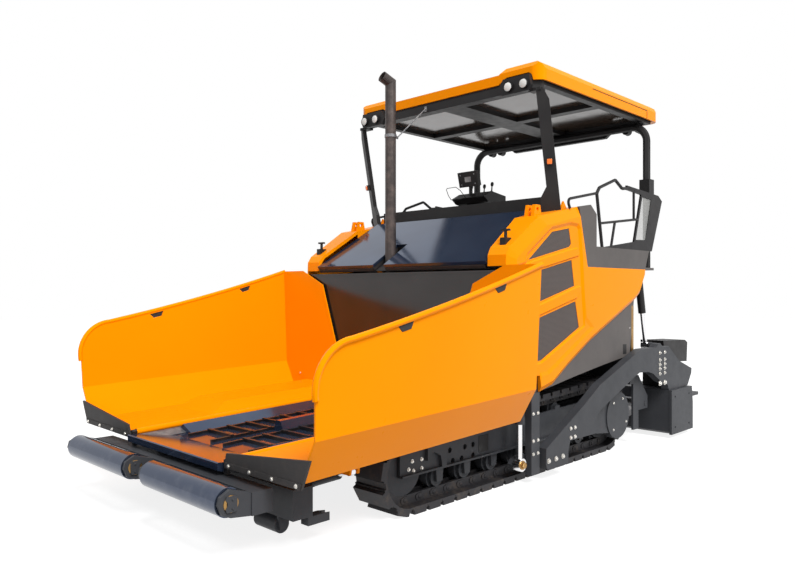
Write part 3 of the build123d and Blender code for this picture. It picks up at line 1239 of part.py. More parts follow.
def build():
    nodes = {}
    pins, pins_right = wing_hinge_pins()
    frame = main_frame() + [rear_wall(), crosshead(), pivot_bracket()]
    for piece in head_fittings() + outrigger() + [ram_bracket()]:
        frame += both(piece)
    nodes["main_frame"] = frame
    nodes["wing_hinge_pins"] = [pins, pins_right]
    nodes["hopper_back_wall"] = [back_wall()]
    nodes["conveyor_deck"] = conveyor_deck()
    nodes["conveyor_slats"] = [conveyor_slats()]
    barrel, rod = lift_parts()
    ram_barrel, ram_rod = ram_parts()
    for side, place in SIDES:
        nodes["track_" + side] = [place(track())]
        nodes["track_frame_" + side] = [place(track_frame())]
        nodes["running_gear_" + side] = [place(wheel_piece) for wheel_piece in running_gear()]
        nodes["side_panel_" + side] = [place(side_panel())]
        nodes["wing_" + side] = [place(wing() + ram_lug())]
        nodes["wing_flap_" + side] = [place(wing_flap())]
        nodes["wing_barrel_" + side] = [place(ram_barrel)]
        nodes["wing_rod_" + side] = [place(ram_rod)]
        nodes["push_roller_" + side] = [place(push_roller())]
        nodes["lift_barrel_" + side] = [place(barrel)]
        nodes["lift_rod_" + side] = [place(rod)]
        nodes["auger_" + side] = [place(auger())]
    nodes["drive_covers"] = both(drive_cover())
    nodes["level_barrels"] = both(level_barrel())
    nodes["tow_points"] = both(tow_point())
    nodes["tow_arms"] = [side for piece in tow_arm() for side in both(piece)]
    nodes["screed_frame"] = [screed_frame()]
    nodes["screed_boxes"] = screed_boxes()
    nodes["screed_walkway"] = [screed_walkway()]
    nodes["lift_brackets"] = both(lift_bracket())
    nodes["auger_frame"] = [auger_frame()]
    nodes["push_beam"] = [push_beam()]
    nodes["side_grilles"] = grilles()
    nodes["lower_panels"] = both(lower_panel())
    nodes["hood"] = [hood()]
    nodes["exhaust_pipe"] = [exhaust_pipe()]
    nodes["engine_block"] = [engine()] + muffler()
    nodes["platform"] = platform()
    nodes["dash_cowl"] = [dash_cowl()]
    nodes["seat_pedestals"] = seats()
    nodes["seat_cushions"] = seat_cushions()
    nodes["console"] = console()
    nodes["handrails"] = both(handrails())
    nodes["side_screens"] = both(side_screen())
    nodes["canopy_roof"] = [canopy_roof()]
    nodes["canopy_liner"] = canopy_liner()
    nodes["roof_panes"] = roof_panes()
    nodes["canopy_posts"] = canopy_posts()
    nodes["canopy_lamps"] = lamps() + markers()
    nodes["lifting_lugs"] = lifting_lugs()
    nodes["stowage_pegs"] = stowage_pegs()
    return nodes


os.makedirs("parts", exist_ok=True)
for name, shapes in build().items():
    solids = [solid for shape in shapes for solid in shape.solids()]
    export_step(Compound(label=name, children=solids), "parts/" + name + ".step")
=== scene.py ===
from math import atan2, cos, exp, hypot, pi, radians, sin

import bmesh
import bpy
from mathutils import Matrix, Vector


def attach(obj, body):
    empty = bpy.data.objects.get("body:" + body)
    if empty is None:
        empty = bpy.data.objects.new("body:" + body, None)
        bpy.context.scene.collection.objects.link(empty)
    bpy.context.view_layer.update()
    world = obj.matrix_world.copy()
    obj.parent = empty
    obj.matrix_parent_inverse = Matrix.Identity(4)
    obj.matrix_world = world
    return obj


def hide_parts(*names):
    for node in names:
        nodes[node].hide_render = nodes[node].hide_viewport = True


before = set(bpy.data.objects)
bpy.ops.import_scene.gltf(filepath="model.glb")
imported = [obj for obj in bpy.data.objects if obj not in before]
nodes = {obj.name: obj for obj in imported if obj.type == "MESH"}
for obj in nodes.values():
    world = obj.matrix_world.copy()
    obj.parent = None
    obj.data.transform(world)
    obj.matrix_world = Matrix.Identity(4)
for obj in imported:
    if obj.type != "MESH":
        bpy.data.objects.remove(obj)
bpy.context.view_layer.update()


# Materials

def shader_nodes(name):
    """New node material: its node tree and its Principled shader."""
    mat = bpy.data.materials.new(name)
    mat.use_nodes = True
    tree = mat.node_tree
    return mat, tree, tree.nodes["Principled BSDF"]


def noise(tree, scale, detail=4.0, rough=0.55, stretch=None):
    """Noise in object space, stretched by a scale along each axis."""
    coords = tree.nodes.new("ShaderNodeTexCoord")
    mapping = tree.nodes.new("ShaderNodeMapping")
    mapping.inputs["Scale"].default_value = stretch or (1, 1, 1)
    tree.links.new(coords.outputs["Object"], mapping.inputs["Vector"])
    tex = tree.nodes.new("ShaderNodeTexNoise")
    tex.inputs["Scale"].default_value = scale
    tex.inputs["Detail"].default_value = detail
    tex.inputs["Roughness"].default_value = rough
    tree.links.new(mapping.outputs["Vector"], tex.inputs["Vector"])
    return tex.outputs["Fac"]


def ramp(tree, fac, stops):
    """Colour ramp with (position, colour) stops."""
    node = tree.nodes.new("ShaderNodeValToRGB")
    elements = node.color_ramp.elements
    while len(elements) < len(stops):
        elements.new(0.5)
    for element, (position, colour) in zip(elements, stops):
        element.position = position
        element.color = (*colour, 1)
    tree.links.new(fac, node.inputs["Fac"])
    return node.outputs["Color"]


def bump(tree, shader, height, strength, distance):
    """Bump from a height factor, with its depth in metres."""
    node = tree.nodes.new("ShaderNodeBump")
    node.inputs["Strength"].default_value = strength
    node.inputs["Distance"].default_value = distance
    tree.links.new(height, node.inputs["Height"])
    tree.links.new(node.outputs["Normal"], shader.inputs["Normal"])


def span(tree, fac, low, high):
    """Maps a 0 to 1 factor to a range."""
    node = tree.nodes.new("ShaderNodeMapRange")
    node.inputs["To Min"].default_value = low
    node.inputs["To Max"].default_value = high
    tree.links.new(fac, node.inputs["Value"])
    return node.outputs["Result"]


def paint(name, dark, light, rough=0.3, coat=0.0, scale=3.0, metallic=0.0, peel=0.02,
          glint=(1, 1, 1), ior=1.5):
    """Paint with a slow change of tone, uneven gloss, a slight orange peel and a tinted glint."""
    mat, tree, shader = shader_nodes(name)
    tone = noise(tree, scale)
    tree.links.new(ramp(tree, tone, [(0.3, dark), (0.7, light)]), shader.inputs["Base Color"])
    tree.links.new(span(tree, noise(tree, 14.0), rough * 0.75, rough * 1.3),
                   shader.inputs["Roughness"])
    shader.inputs["Metallic"].default_value = metallic
    shader.inputs["Coat Weight"].default_value = coat
    shader.inputs["Coat Roughness"].default_value = 0.12
    shader.inputs["Specular Tint"].default_value = (*glint, 1)
    shader.inputs["IOR"].default_value = ior
    bump(tree, shader, noise(tree, 260.0, 2.0), peel, 0.002)
    return mat


def dusty(name, base, dust, amount=0.5, rough=0.6, metallic=0.0, scale=9.0, grain=0.25):
    """Worn surface: a base colour with patches of dust and a fine grain."""
    mat, tree, shader = shader_nodes(name)
    patches = noise(tree, scale, 8.0, 0.7)
    tree.links.new(ramp(tree, patches, [(amount, base), (min(amount + 0.25, 1.0), dust)]),
                   shader.inputs["Base Color"])
    tree.links.new(span(tree, patches, rough * 0.8, min(rough * 1.3, 1.0)),
                   shader.inputs["Roughness"])
    shader.inputs["Metallic"].default_value = metallic
    bump(tree, shader, noise(tree, 120.0, 6.0), grain, 0.002)
    return mat


def glass(name, tint, alpha):
    """Pane or lens with faint upright smears; an alpha below 1 lets the view through."""
    mat, tree, shader = shader_nodes(name)
    smear = noise(tree, 6.0, 6.0, 0.6, (1, 1, 0.4))
    tree.links.new(ramp(tree, smear, [(0.3, tint), (0.8, tuple(min(c * 1.5, 1) for c in tint))]),
                   shader.inputs["Base Color"])
    tree.links.new(span(tree, smear, 0.05, 0.25), shader.inputs["Roughness"])
    shader.inputs["Alpha"].default_value = alpha
    return mat


def mesh_sheet(name, colour, hole):
    """Perforated sheet: a fine grid of dark round holes."""
    mat, tree, shader = shader_nodes(name)
    coords = tree.nodes.new("ShaderNodeTexCoord")
    cells = tree.nodes.new("ShaderNodeTexVoronoi")
    cells.inputs["Scale"].default_value = 90.0
    cells.inputs["Randomness"].default_value = 0.0
    tree.links.new(coords.outputs["Object"], cells.inputs["Vector"])
    tree.links.new(ramp(tree, cells.outputs["Distance"], [(0.28, hole), (0.40, colour)]),
                   shader.inputs["Base Color"])
    tree.links.new(span(tree, noise(tree, 4.0), 0.5, 0.7), shader.inputs["Roughness"])
    bump(tree, shader, cells.outputs["Distance"], 0.5, 0.003)
    return mat


def tread_plate(name, dark, light):
    """Floor plate with a raised pattern of short bars, worn bright on their tops."""
    mat, tree, shader = shader_nodes(name)
    coords = tree.nodes.new("ShaderNodeTexCoord")
    cells = tree.nodes.new("ShaderNodeTexVoronoi")
    cells.inputs["Scale"].default_value = 28.0
    cells.inputs["Randomness"].default_value = 0.15
    tree.links.new(coords.outputs["Object"], cells.inputs["Vector"])
    tree.links.new(ramp(tree, cells.outputs["Distance"], [(0.18, light), (0.34, dark)]),
                   shader.inputs["Base Color"])
    tree.links.new(span(tree, noise(tree, 8.0), 0.4, 0.7), shader.inputs["Roughness"])
    bump(tree, shader, cells.outputs["Distance"], 0.6, -0.004)
    return mat


ORANGE = paint("yellow_enamel", (0.94, 0.272, 0.0003), (0.97, 0.292, 0.0006), rough=0.30,
               scale=0.7, glint=(1.0, 0.42, 0.01), ior=1.22)
FRAME = paint("frame_grey", (0.038, 0.040, 0.045), (0.052, 0.054, 0.060), rough=0.42, ior=1.25)
PANEL = paint("panel_grey", (0.088, 0.080, 0.077), (0.110, 0.099, 0.094), rough=0.4, ior=1.25)
# dark grey gloss paint with a blue tint that is painted sky reflection, carried into its glint by
# the metallic setting
SKY_TINTED_SLATE = paint("slate_gloss_sky_tint", (0.034, 0.052, 0.100), (0.046, 0.070, 0.125), rough=0.12, coat=0.05,
              metallic=0.6, peel=0.006)
GLOSS = paint("gloss_black", (0.020, 0.017, 0.016), (0.030, 0.026, 0.025), rough=0.13, coat=0.2,
              metallic=0.3, peel=0.006)
BLACK = paint("satin_black", (0.011, 0.010, 0.011), (0.019, 0.018, 0.018), rough=0.45, ior=1.3)
TRACK = dusty("track_steel", (0.022, 0.021, 0.024), (0.085, 0.068, 0.055), 0.52, 0.55, 0.3)
STEEL = dusty("worn_steel", (0.16, 0.16, 0.17), (0.36, 0.35, 0.34), 0.45, 0.4, 0.8)
CHROME = dusty("hard_chrome", (0.72, 0.72, 0.73), (0.80, 0.80, 0.80), 0.5, 0.12, 1.0, grain=0.02)
ROLLER = dusty("roller_paint", (0.055, 0.070, 0.110), (0.095, 0.110, 0.150), 0.5, 0.15, 0.7,
               grain=0.02)
RUBBER = dusty("flap_rubber", (0.012, 0.010, 0.010), (0.035, 0.028, 0.026), 0.5, 0.65)
EXHAUST = dusty("heated_steel", (0.045, 0.036, 0.034), (0.11, 0.085, 0.075), 0.45, 0.45, 0.5)
VINYL = dusty("seat_vinyl", (0.012, 0.012, 0.013), (0.02, 0.02, 0.02), 0.5, 0.5)
MESH = mesh_sheet("grille_mesh", (0.085, 0.066, 0.06), (0.006, 0.005, 0.005))
CLEAR = glass("clear_screen", (0.35, 0.35, 0.34), 0.45)
TINTED = glass("tinted_pane", (0.070, 0.048, 0.036), 0.98)
LENS = glass("lamp_lens", (0.62, 0.62, 0.60), 1.0)
AMBER = glass("amber_lens", (0.85, 0.16, 0.01), 1.0)
SCREEN = glass("display_glass", (0.02, 0.024, 0.03), 1.0)
CHAIN = dusty("chain_steel", (0.018, 0.017, 0.019), (0.06, 0.05, 0.045), 0.5, 0.4, 0.6)
BRIGHT = dusty("zinc_bolts", (0.62, 0.60, 0.56), (0.8, 0.78, 0.74), 0.5, 0.28, 0.9, grain=0.03)
BRASS = dusty("brass_ring", (0.34, 0.20, 0.07), (0.52, 0.33, 0.12), 0.5, 0.35, 0.9, grain=0.05)
TREAD = tread_plate("tread_plate", (0.035, 0.036, 0.040), (0.10, 0.10, 0.10))


def pairs(*stems):
    """Names of the left and right nodes."""
    return tuple(f"{stem}_{side}" for stem in stems for side in ("left", "right"))


FINISH = {
    ORANGE: ("canopy_roof", "lifting_lugs", *pairs("side_panel", "wing")),
    FRAME: ("main_frame", "drive_covers", "level_barrels", "tow_arms", "screed_frame",
            "lift_brackets", "auger_frame", "push_beam", "engine_block",
            *pairs("track_frame", "wing_barrel", "running_gear")),
    PANEL: ("lower_panels", "platform"),
    SKY_TINTED_SLATE: ("hood", "conveyor_deck"),
    GLOSS: ("hopper_back_wall",),
    BLACK: ("screed_boxes", "stowage_pegs", "dash_cowl", "seat_pedestals", "console",
            "handrails", "canopy_liner", "canopy_posts", "canopy_lamps", *pairs("lift_barrel")),
    TRACK: pairs("track"),
    STEEL: pairs("auger"),
    CHAIN: ("wing_hinge_pins", "conveyor_slats"),
    CHROME: ("tow_points", *pairs("wing_rod", "lift_rod")),
    ROLLER: pairs("push_roller"),
    RUBBER: pairs("wing_flap"),
    EXHAUST: ("exhaust_pipe",),
    VINYL: ("seat_cushions",),
    MESH: ("side_grilles",),
    CLEAR: ("side_screens",),
    TINTED: ("roof_panes",),
    TREAD: ("screed_walkway",),
}

for material, names in FINISH.items():
    for name in names:
        nodes[name].data.materials.clear()
        nodes[name].data.materials.append(material)


# Stage

FLOOR_SIZE = 80
FLOOR_TONE = 0.35        # where it shows, under its own glow
FLOOR_GLOW = 0.82
FLOOR_BOUNCE = 0.34      # as it lights the object
SKY_LIGHT = 0.55         # what the world sheds on the object; where it shows it is white
WHITE = 1.0

# name, place, target, size, power
LIGHTS = (
    ("key", (9, 24, 30), (0, 0, 1.2), (16, 16), 15500),
    ("side", (-6, 36, 12), (0, 0, 1.5), (20, 14), 1800),
    ("front", (36, 9, 9), (1, 0, 1), (15, 9), 900),
)

# Camera, from the photo's vanishing points: its width, focal length and shift in pixels
PHOTO_WIDTH = 795
FOCAL = 710.3
SHIFT = 4
SENSOR = 36              # millimetres
EYE = (5.817, 5.014, 1.75)
HEADING = 44.31          # degrees from -X towards -Y


def seen_directly(tree):
    """1 for rays that show the background: straight, mirrored or through glass."""
    path = tree.nodes.new("ShaderNodeLightPath")
    total = path.outputs["Is Camera Ray"]
    for kind in ("Is Glossy Ray", "Is Transmission Ray"):
        larger = tree.nodes.new("ShaderNodeMath")
        larger.operation = "MAXIMUM"
        tree.links.new(total, larger.inputs[0])
        tree.links.new(path.outputs[kind], larger.inputs[1])
        total = larger.outputs["Value"]
    return total


def choice(tree, first, second, output):
    """Sends the first shader to the output, and the second for rays that show the background."""
    mix = tree.nodes.new("ShaderNodeMixShader")
    tree.links.new(seen_directly(tree), mix.inputs["Fac"])
    tree.links.new(first, mix.inputs[1])
    tree.links.new(second, mix.inputs[2])
    tree.links.new(mix.outputs["Shader"], output)


def glow(tree, strength):
    """Even emission; a strength of 1 is white."""
    node = tree.nodes.new("ShaderNodeEmission")
    node.inputs["Strength"].default_value = strength
    return node.outputs["Emission"]


def matt(tree, tone):
    """Diffuse surface with a slight change of tone."""
    node = tree.nodes.new("ShaderNodeBsdfDiffuse")
    tones = [(0.0, (tone, tone, tone)), (1.0, (tone * 1.03, tone * 1.03, tone * 1.03))]
    tree.links.new(ramp(tree, noise(tree, 0.4), tones), node.inputs["Color"])
    return node.outputs["BSDF"]


def stage():
    """White floor that keeps a faint shadow, under a white world."""
    bpy.ops.mesh.primitive_plane_add(size=FLOOR_SIZE)
    floor = bpy.context.object
    floor.name = "floor"
    mat, tree, _ = shader_nodes("floor_white")
    shown = tree.nodes.new("ShaderNodeAddShader")
    tree.links.new(matt(tree, FLOOR_TONE), shown.inputs[0])
    tree.links.new(glow(tree, FLOOR_GLOW), shown.inputs[1])
    choice(tree, matt(tree, FLOOR_BOUNCE), shown.outputs["Shader"],
           tree.nodes["Material Output"].inputs["Surface"])
    floor.data.materials.append(mat)
    scene = bpy.context.scene
    scene.view_settings.view_transform = "Standard"
    world = bpy.data.worlds.new("studio")
    scene.world = world
    world.use_nodes = True
    tree = world.node_tree
    choice(tree, glow(tree, SKY_LIGHT), glow(tree, WHITE),
           tree.nodes["World Output"].inputs["Surface"])


def area_light(name, place, target, size, power):
    """Rectangular lamp aimed at a target."""
    light = bpy.data.lights.new(name, "AREA")
    light.shape = "RECTANGLE"
    light.size, light.size_y = size
    light.energy = power
    obj = bpy.data.objects.new(name, light)
    bpy.context.scene.collection.objects.link(obj)
    obj.location = place
    obj.rotation_euler = (Vector(target) - Vector(place)).to_track_quat("-Z", "Y").to_euler()


def camera():
    heading = radians(HEADING)
    cam = bpy.data.cameras.new("camera")
    cam.lens = SENSOR * FOCAL / PHOTO_WIDTH
    cam.shift_y = SHIFT / PHOTO_WIDTH
    obj = bpy.data.objects.new("camera", cam)
    bpy.context.scene.collection.objects.link(obj)
    obj.location = EYE
    look = Vector((-cos(heading), -sin(heading), 0))
    obj.rotation_euler = look.to_track_quat("-Z", "Y").to_euler()
    bpy.context.scene.camera = obj


# Tools for pieces

MIRROR = Matrix.Scale(-1, 4, (0, 1, 0))
SIDES = (("left", Matrix()), ("right", MIRROR))


def axes(origin, along, across):
    """Frame with its X along one direction and its Y across it."""
    x = Vector(along).normalized()
    z = x.cross(Vector(across)).normalized()
    turn = Matrix((x, z.cross(x), z)).transposed().to_4x4()
    return Matrix.Translation(origin) @ turn


def facing(place, axis):
    """Frame at a place, with its Z along an axis."""
    return Matrix.Translation(place) @ Vector(axis).to_track_quat("Z", "Y").to_matrix().to_4x4()


def turned(bm, at, profile, steps=20):
    """Adds a turned shape: (radius, height) points round a frame's Z."""
    rings = []
    for radius, height in profile:
        angles = [2 * pi * i / steps for i in range(steps)]
        rings.append([bm.verts.new(at @ Vector((radius * cos(a), radius * sin(a), height)))
                      for a in angles])
    for low, high in zip(rings, rings[1:]):
        for i in range(steps):
            j = (i + 1) % steps
            bm.faces.new((low[i], low[j], high[j], high[i]))
    bm.faces.new(rings[0][::-1])
    bm.faces.new(rings[-1])


def slab(bm, at, outline, low, high):
    """Adds a plate: an outline in a frame's X and Y, from low to high along its Z."""
    bottom, top = [[bm.verts.new(at @ Vector((x, y, z))) for x, y in outline] for z in (low, high)]
    for i in range(len(outline)):
        j = (i + 1) % len(outline)
        bm.faces.new((bottom[i], bottom[j], top[j], top[i]))
    bm.faces.new(bottom[::-1])
    bm.faces.new(top)


def bar(bm, at, xs, ys, zs):
    """Adds a box between limits along a frame's axes."""
    slab(bm, at, [(xs[0], ys[0]), (xs[1], ys[0]), (xs[1], ys[1]), (xs[0], ys[1])], *zs)


def bolt(bm, at, size):
    """Adds a washer and a hexagon head of a radius, standing on a frame's Z."""
    turned(bm, at, [(size * 1.35, -0.002), (size * 1.35, size * 0.2), (size, size * 0.26)], 16)
    turned(bm, at, [(size, size * 0.2), (size, size * 0.8), (size * 0.84, size * 0.95)], 6)


def finish(name, bm, material, body, edge=0.0):
    """Makes an object of a bmesh, with its material and its body."""
    bmesh.ops.recalc_face_normals(bm, faces=bm.faces)
    mesh = bpy.data.meshes.new(name)
    bm.to_mesh(mesh)
    bm.free()
    mesh.materials.append(material)
    mesh.polygons.foreach_set("use_smooth", [True] * len(mesh.polygons))
    mesh.set_sharp_from_angle(angle=radians(35))
    piece = bpy.data.objects.new(name, mesh)
    bpy.context.scene.collection.objects.link(piece)
    if edge:
        rounding = piece.modifiers.new("edge", "BEVEL")
        rounding.width = edge
        rounding.segments = 2
        rounding.limit_method = "ANGLE"
    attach(piece, body)
    return piece


def on_both(name, build, material, body, edge=0.0):
    """One object with a shape and its mirror, or two where the sides are separate bodies."""
    if body.endswith("_left"):
        for side, flip in SIDES:
            bm = bmesh.new()
            build(bm, flip)
            finish(f"{name}_{side}", bm, material, body.replace("left", side), edge)
        return
    bm = bmesh.new()
    for side, flip in SIDES:
        build(bm, flip)
    finish(name, bm, material, body, edge)


def wire(name, points, radius, material, body, smooth=False, closed=False):
    """Round bar along points."""
    curve = bpy.data.curves.new(name, "CURVE")
    curve.dimensions = "3D"
    curve.bevel_depth = radius
    curve.bevel_resolution = 3
    curve.use_fill_caps = True
    spline = curve.splines.new("NURBS" if smooth else "POLY")
    spline.points.add(len(points) - 1)
    for point, place in zip(spline.points, points):
        point.co = (*place, 1)
    spline.use_cyclic_u = closed
    if smooth:
        spline.order_u = 3
        spline.use_endpoint_u = not closed
    piece = bpy.data.objects.new(name, curve)
    bpy.context.scene.collection.objects.link(piece)
    curve.materials.append(material)
    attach(piece, body)
    return piece


# Bolts

ARM_FACE = 1.460         # outer side of the tow arms
SLOT_ROWS = (1.027, 0.944, 0.892, 0.842, 0.787)
SLOT_COLUMNS = (-2.150, -2.279)
SLOT_FOOT = 0.675        # height of the large bolt under each column
WAYS = {"X": (1, 0, 0), "Y": (0, 1, 0)}

# name, body, material, axis they stand along, size, face they stand on, places in that face on
# the left side
BOLTS = (
    ("frame_bolts", "chassis", BRIGHT, "Y", 0.012, 1.187,
     [(1.731, 0.400), (1.621, 0.399), (1.772, 0.342), (1.718, 0.323), (1.621, 0.328)]),
    ("column_bolts", "chassis", BRIGHT, "Y", 0.012, 1.425,
     [(0.318, 0.635), (0.392, 0.635), (0.318, 0.390), (0.392, 0.390), (0.318, 0.272),
      (0.392, 0.272)]),
    ("drive_bolts", "chassis", BRIGHT, "Y", 0.010, 1.340,
     [(-1.277, 0.532), (-1.270, 0.245), (-1.560, 0.300), (-1.480, 0.560)]),
    ("panel_bolts", "chassis", BRIGHT, "Y", 0.006, 1.3608, [(-1.600, 1.327)]),
    ("arm_bolts", "screed", BRIGHT, "Y", 0.014, ARM_FACE,
     [(-0.191, 0.428), (-0.269, 0.428), (-0.191, 0.340), (-0.269, 0.340)]),
    ("foot_bolts", "screed", BRIGHT, "Y", 0.018, ARM_FACE,
     [(0.196, 0.183), (0.072, 0.185), (-0.047, 0.188)]),
    ("wall_bolts", "wing_body_left", BRIGHT, "X", 0.010, 0.792, [(1.441, 0.806), (1.157, 0.814)]),
    ("flap_bolts", "wing_body_left", BRIGHT, "X", 0.011, 3.146,
     [(0.790, 0.542), (1.040, 0.545), (1.290, 0.548), (1.540, 0.551)]),
    ("tow_eye_nut", "tow_point_body", BRASS, "Y", 0.030, 1.418, [(0.550, 0.200)]),
)


def bolted(bm, flip, axis, size, face, places):
    """Adds a bolt at each place of a face across X or Y."""
    for a, z in places:
        place = (face, a, z) if axis == "X" else (a, face, z)
        bolt(bm, flip @ facing(place, WAYS[axis]), size)


def arm_slots(bm, flip):
    """Short raised studs in two columns on the rear of each tow arm."""
    for x in SLOT_COLUMNS:
        for z in SLOT_ROWS:
            at = flip @ facing((x, ARM_FACE, z), WAYS["Y"])
            turned(bm, at, [(0.022, -0.002), (0.022, 0.003), (0.013, 0.004)], 18)
            turned(bm, at, [(0.012, 0.0), (0.012, 0.014), (0.009, 0.017)], 12)
        bolt(bm, flip @ facing((x, ARM_FACE, SLOT_FOOT), WAYS["Y"]), 0.022)


for name, body, material, axis, size, face, places in BOLTS:
    on_both(name, lambda bm, flip: bolted(bm, flip, axis, size, face, places), material, body)
on_both("arm_studs", arm_slots, BRIGHT, "screed")


# Tracks: pins in the outer link rails, one pitch apart along the loop

IDLER = (1.800, 0.330)   # X, and Z, which is also its radius over the pads
SPROCKET = (-1.300, 0.400)
SHOES = 46
PIN_LINE = 0.0975        # pins' line, in from the pad faces
LINK_FACE = 1.157
CHEEK = [(-0.050, -0.026), (0.030, -0.026), (0.048, -0.010), (0.048, 0.014), (0.020, 0.028),
         (-0.028, 0.028), (-0.050, 0.012)]
OUTWARD = Matrix.Scale(-1, 4, (0, 0, 1))


def loop_points(count, inset):
    """Places and headings evenly along the track's loop, in from its outer face."""
    run = IDLER[0] - SPROCKET[0]
    tilt = atan2(SPROCKET[1] - IDLER[1], run)
    wrap = pi - 2 * tilt
    small, large = IDLER[1] - inset, SPROCKET[1] - inset
    legs = (run, small * wrap, run, large * (2 * pi - wrap))
    for i in range(count):
        s = i * sum(legs) / count
        if s < legs[0]:
            yield SPROCKET[0] + s, inset, 0.0
            continue
        s -= legs[0]
        if s < legs[1]:
            turn = s / small
            yield IDLER[0] + small * sin(turn), IDLER[1] - small * cos(turn), turn
            continue
        s -= legs[1]
        if s < legs[2]:
            yield (IDLER[0] + small * sin(wrap) + s * cos(wrap),
                   IDLER[1] - small * cos(wrap) + s * sin(wrap), wrap)
            continue
        turn = wrap + (s - legs[2]) / large
        yield SPROCKET[0] + large * sin(turn), SPROCKET[1] - large * cos(turn), turn


def track_pins(bm, flip):
    """Pin ends and the cheeks round them, on the outer side of the links."""
    for x, z, heading in loop_points(SHOES, PIN_LINE):
        along, across = (cos(heading), 0, sin(heading)), (-sin(heading), 0, cos(heading))
        at = flip @ axes((x, LINK_FACE, z), along, across) @ OUTWARD
        slab(bm, at, CHEEK, -0.002, 0.007)
        turned(bm, at, [(0.018, 0.004), (0.018, 0.011), (0.014, 0.013)], 12)


on_both("track_pins", track_pins, TRACK, "chassis")


# Hood: its trim, slot edging, pull and studs, in a frame down its slope

HOOD = axes((-0.104, 0, 2.518), (0.850, 0, -0.537), (0, 1, 0))
HOOD_EDGE = 1.150                    # half width
SLOT_LEFT = (-0.120, -0.108)         # edging on the two sides of the exhaust's slot
SLOT_RIGHT = (-0.292, -0.280)
PULL = (0.850, 0.435)                # down the slope, across
PULL_HALF = (0.030, 0.085)
PULL_SECTION = ((0.020, -0.002), (0.020, 0.005), (0.014, 0.007), (0.008, 0.005), (0.004, 0.0005))
STUDS = (0.860, 0.98)
HINGE_YS = (-0.96, 0.12, 0.96)


def hood_trim():
    """Rubber along the lower edge and round the slot, and the latch pad beside it."""
    bm = bmesh.new()
    for ys in ((-HOOD_EDGE, SLOT_RIGHT[0]), (SLOT_LEFT[1], HOOD_EDGE)):
        bar(bm, HOOD, (1.006, 1.014), ys, (-0.040, -0.003))
    for ys in (SLOT_RIGHT, SLOT_LEFT):
        bar(bm, HOOD, (0.575, 1.008), ys, (-0.034, 0.008))
    bar(bm, HOOD, (0.573, 0.585), (SLOT_RIGHT[0], SLOT_LEFT[1]), (-0.034, 0.008))
    bar(bm, HOOD, (0.795, 0.850), (-0.370, -0.300), (-0.002, 0.022))
    finish("hood_trim", bm, RUBBER, "hood_body", 0.002)


def hood_pull():
    """Recessed pull: a rounded frame with a dark floor."""
    bm = bmesh.new()
    corners = []
    for quarter, (x_way, y_way) in enumerate(((1, 1), (-1, 1), (-1, -1), (1, -1))):
        for step in range(5):
            a = (quarter + step / 4) * pi / 2
            corners.append((x_way * PULL_HALF[0], y_way * PULL_HALF[1], cos(a), sin(a)))
    at = HOOD @ Matrix.Translation((*PULL, 0))
    rings = []
    for reach, height in PULL_SECTION:
        rings.append([bm.verts.new(at @ Vector((x + reach * dx, y + reach * dy, height)))
                      for x, y, dx, dy in corners])
    for low, high in zip(rings, rings[1:]):
        for i in range(len(corners)):
            j = (i + 1) % len(corners)
            bm.faces.new((low[i], low[j], high[j], high[i]))
    bm.faces.new(rings[-1])
    finish("hood_pull", bm, BLACK, "hood_body")


def hood_studs():
    """Studs at the lower corners, and bolted hinge leaves along the upper edge."""
    bm = bmesh.new()
    for y in (-STUDS[1], STUDS[1]):
        turned(bm, HOOD @ Matrix.Translation((STUDS[0], y, 0)),
               [(0.016, -0.002), (0.016, 0.004), (0.010, 0.009)])
    finish("hood_studs", bm, BRIGHT, "hood_body")
    bm = bmesh.new()
    for y in HINGE_YS:
        bar(bm, HOOD, (0.010, 0.040), (y - 0.045, y + 0.045), (-0.002, 0.006))
        for offset in (-0.025, 0.025):
            bolt(bm, HOOD @ Matrix.Translation((0.025, y + offset, 0.006)), 0.007)
    finish("hood_hinges", bm, BRASS, "hood_body", 0.001)


def exhaust_boot():
    """Rubber apron round the pipe under the hood's slot."""
    bm = bmesh.new()
    bar(bm, HOOD, (0.540, 1.000), (-0.350, -0.050), (-0.048, -0.042))
    finish("exhaust_boot", bm, RUBBER, "chassis", 0.001)


hood_trim()
hood_pull()
hood_studs()
exhaust_boot()


# Exhaust clamp and its stay to the roof

PIPE = (0.579, -0.200)               # the pipe's X and Y
CLAMP_Z = 3.350
STAY_FOOT = (0.034, -0.200, 3.735)   # on the roof's front


def exhaust_stay():
    bm = bmesh.new()
    at = Matrix.Translation((*PIPE, CLAMP_Z))
    turned(bm, at, [(0.057, -0.016), (0.063, -0.016), (0.063, 0.016), (0.057, 0.016)], 24)
    bar(bm, at, (-0.110, -0.058), (-0.006, 0.006), (-0.014, 0.014))
    bolt(bm, facing((0.497, -0.206, CLAMP_Z), (0, -1, 0)), 0.009)
    bar(bm, Matrix(), (0.026, 0.038), (-0.216, -0.184), (3.700, 3.760))
    finish("exhaust_clamp", bm, STEEL, "chassis", 0.001)
    wire("exhaust_stay", [(0.480, PIPE[1], CLAMP_Z), STAY_FOOT], 0.007, STEEL, "chassis")


exhaust_stay()


# Lamps

# place of each lamp's face on the left side, and the way it shines
LAMPS = (
    ((0.099, 0.937, 3.735), (1, 0, 0)),
    ((0.099, 1.115, 3.735), (1, 0, 0)),
    ((-2.420, 0.940, 3.694), (-1, 0, 0)),
    ((-2.420, 1.100, 3.694), (-1, 0, 0)),
)
LAMP_RING = [(0.047, -0.012), (0.050, 0.0), (0.048, 0.006), (0.044, 0.005), (0.043, -0.004)]
LAMP_DOME = [(0.0435, -0.002), (0.043, 0.003), (0.034, 0.007), (0.018, 0.010), (0.003, 0.011)]
MARKER = ((-0.116, 1.275, 2.991), (0.853, 0.493, -0.17))
MARKER_OUTLINE = [(-0.024, -0.020), (-0.020, -0.025), (0.020, -0.025), (0.024, -0.020),
                  (0.024, 0.020), (0.020, 0.025), (-0.020, 0.025), (-0.024, 0.020)]


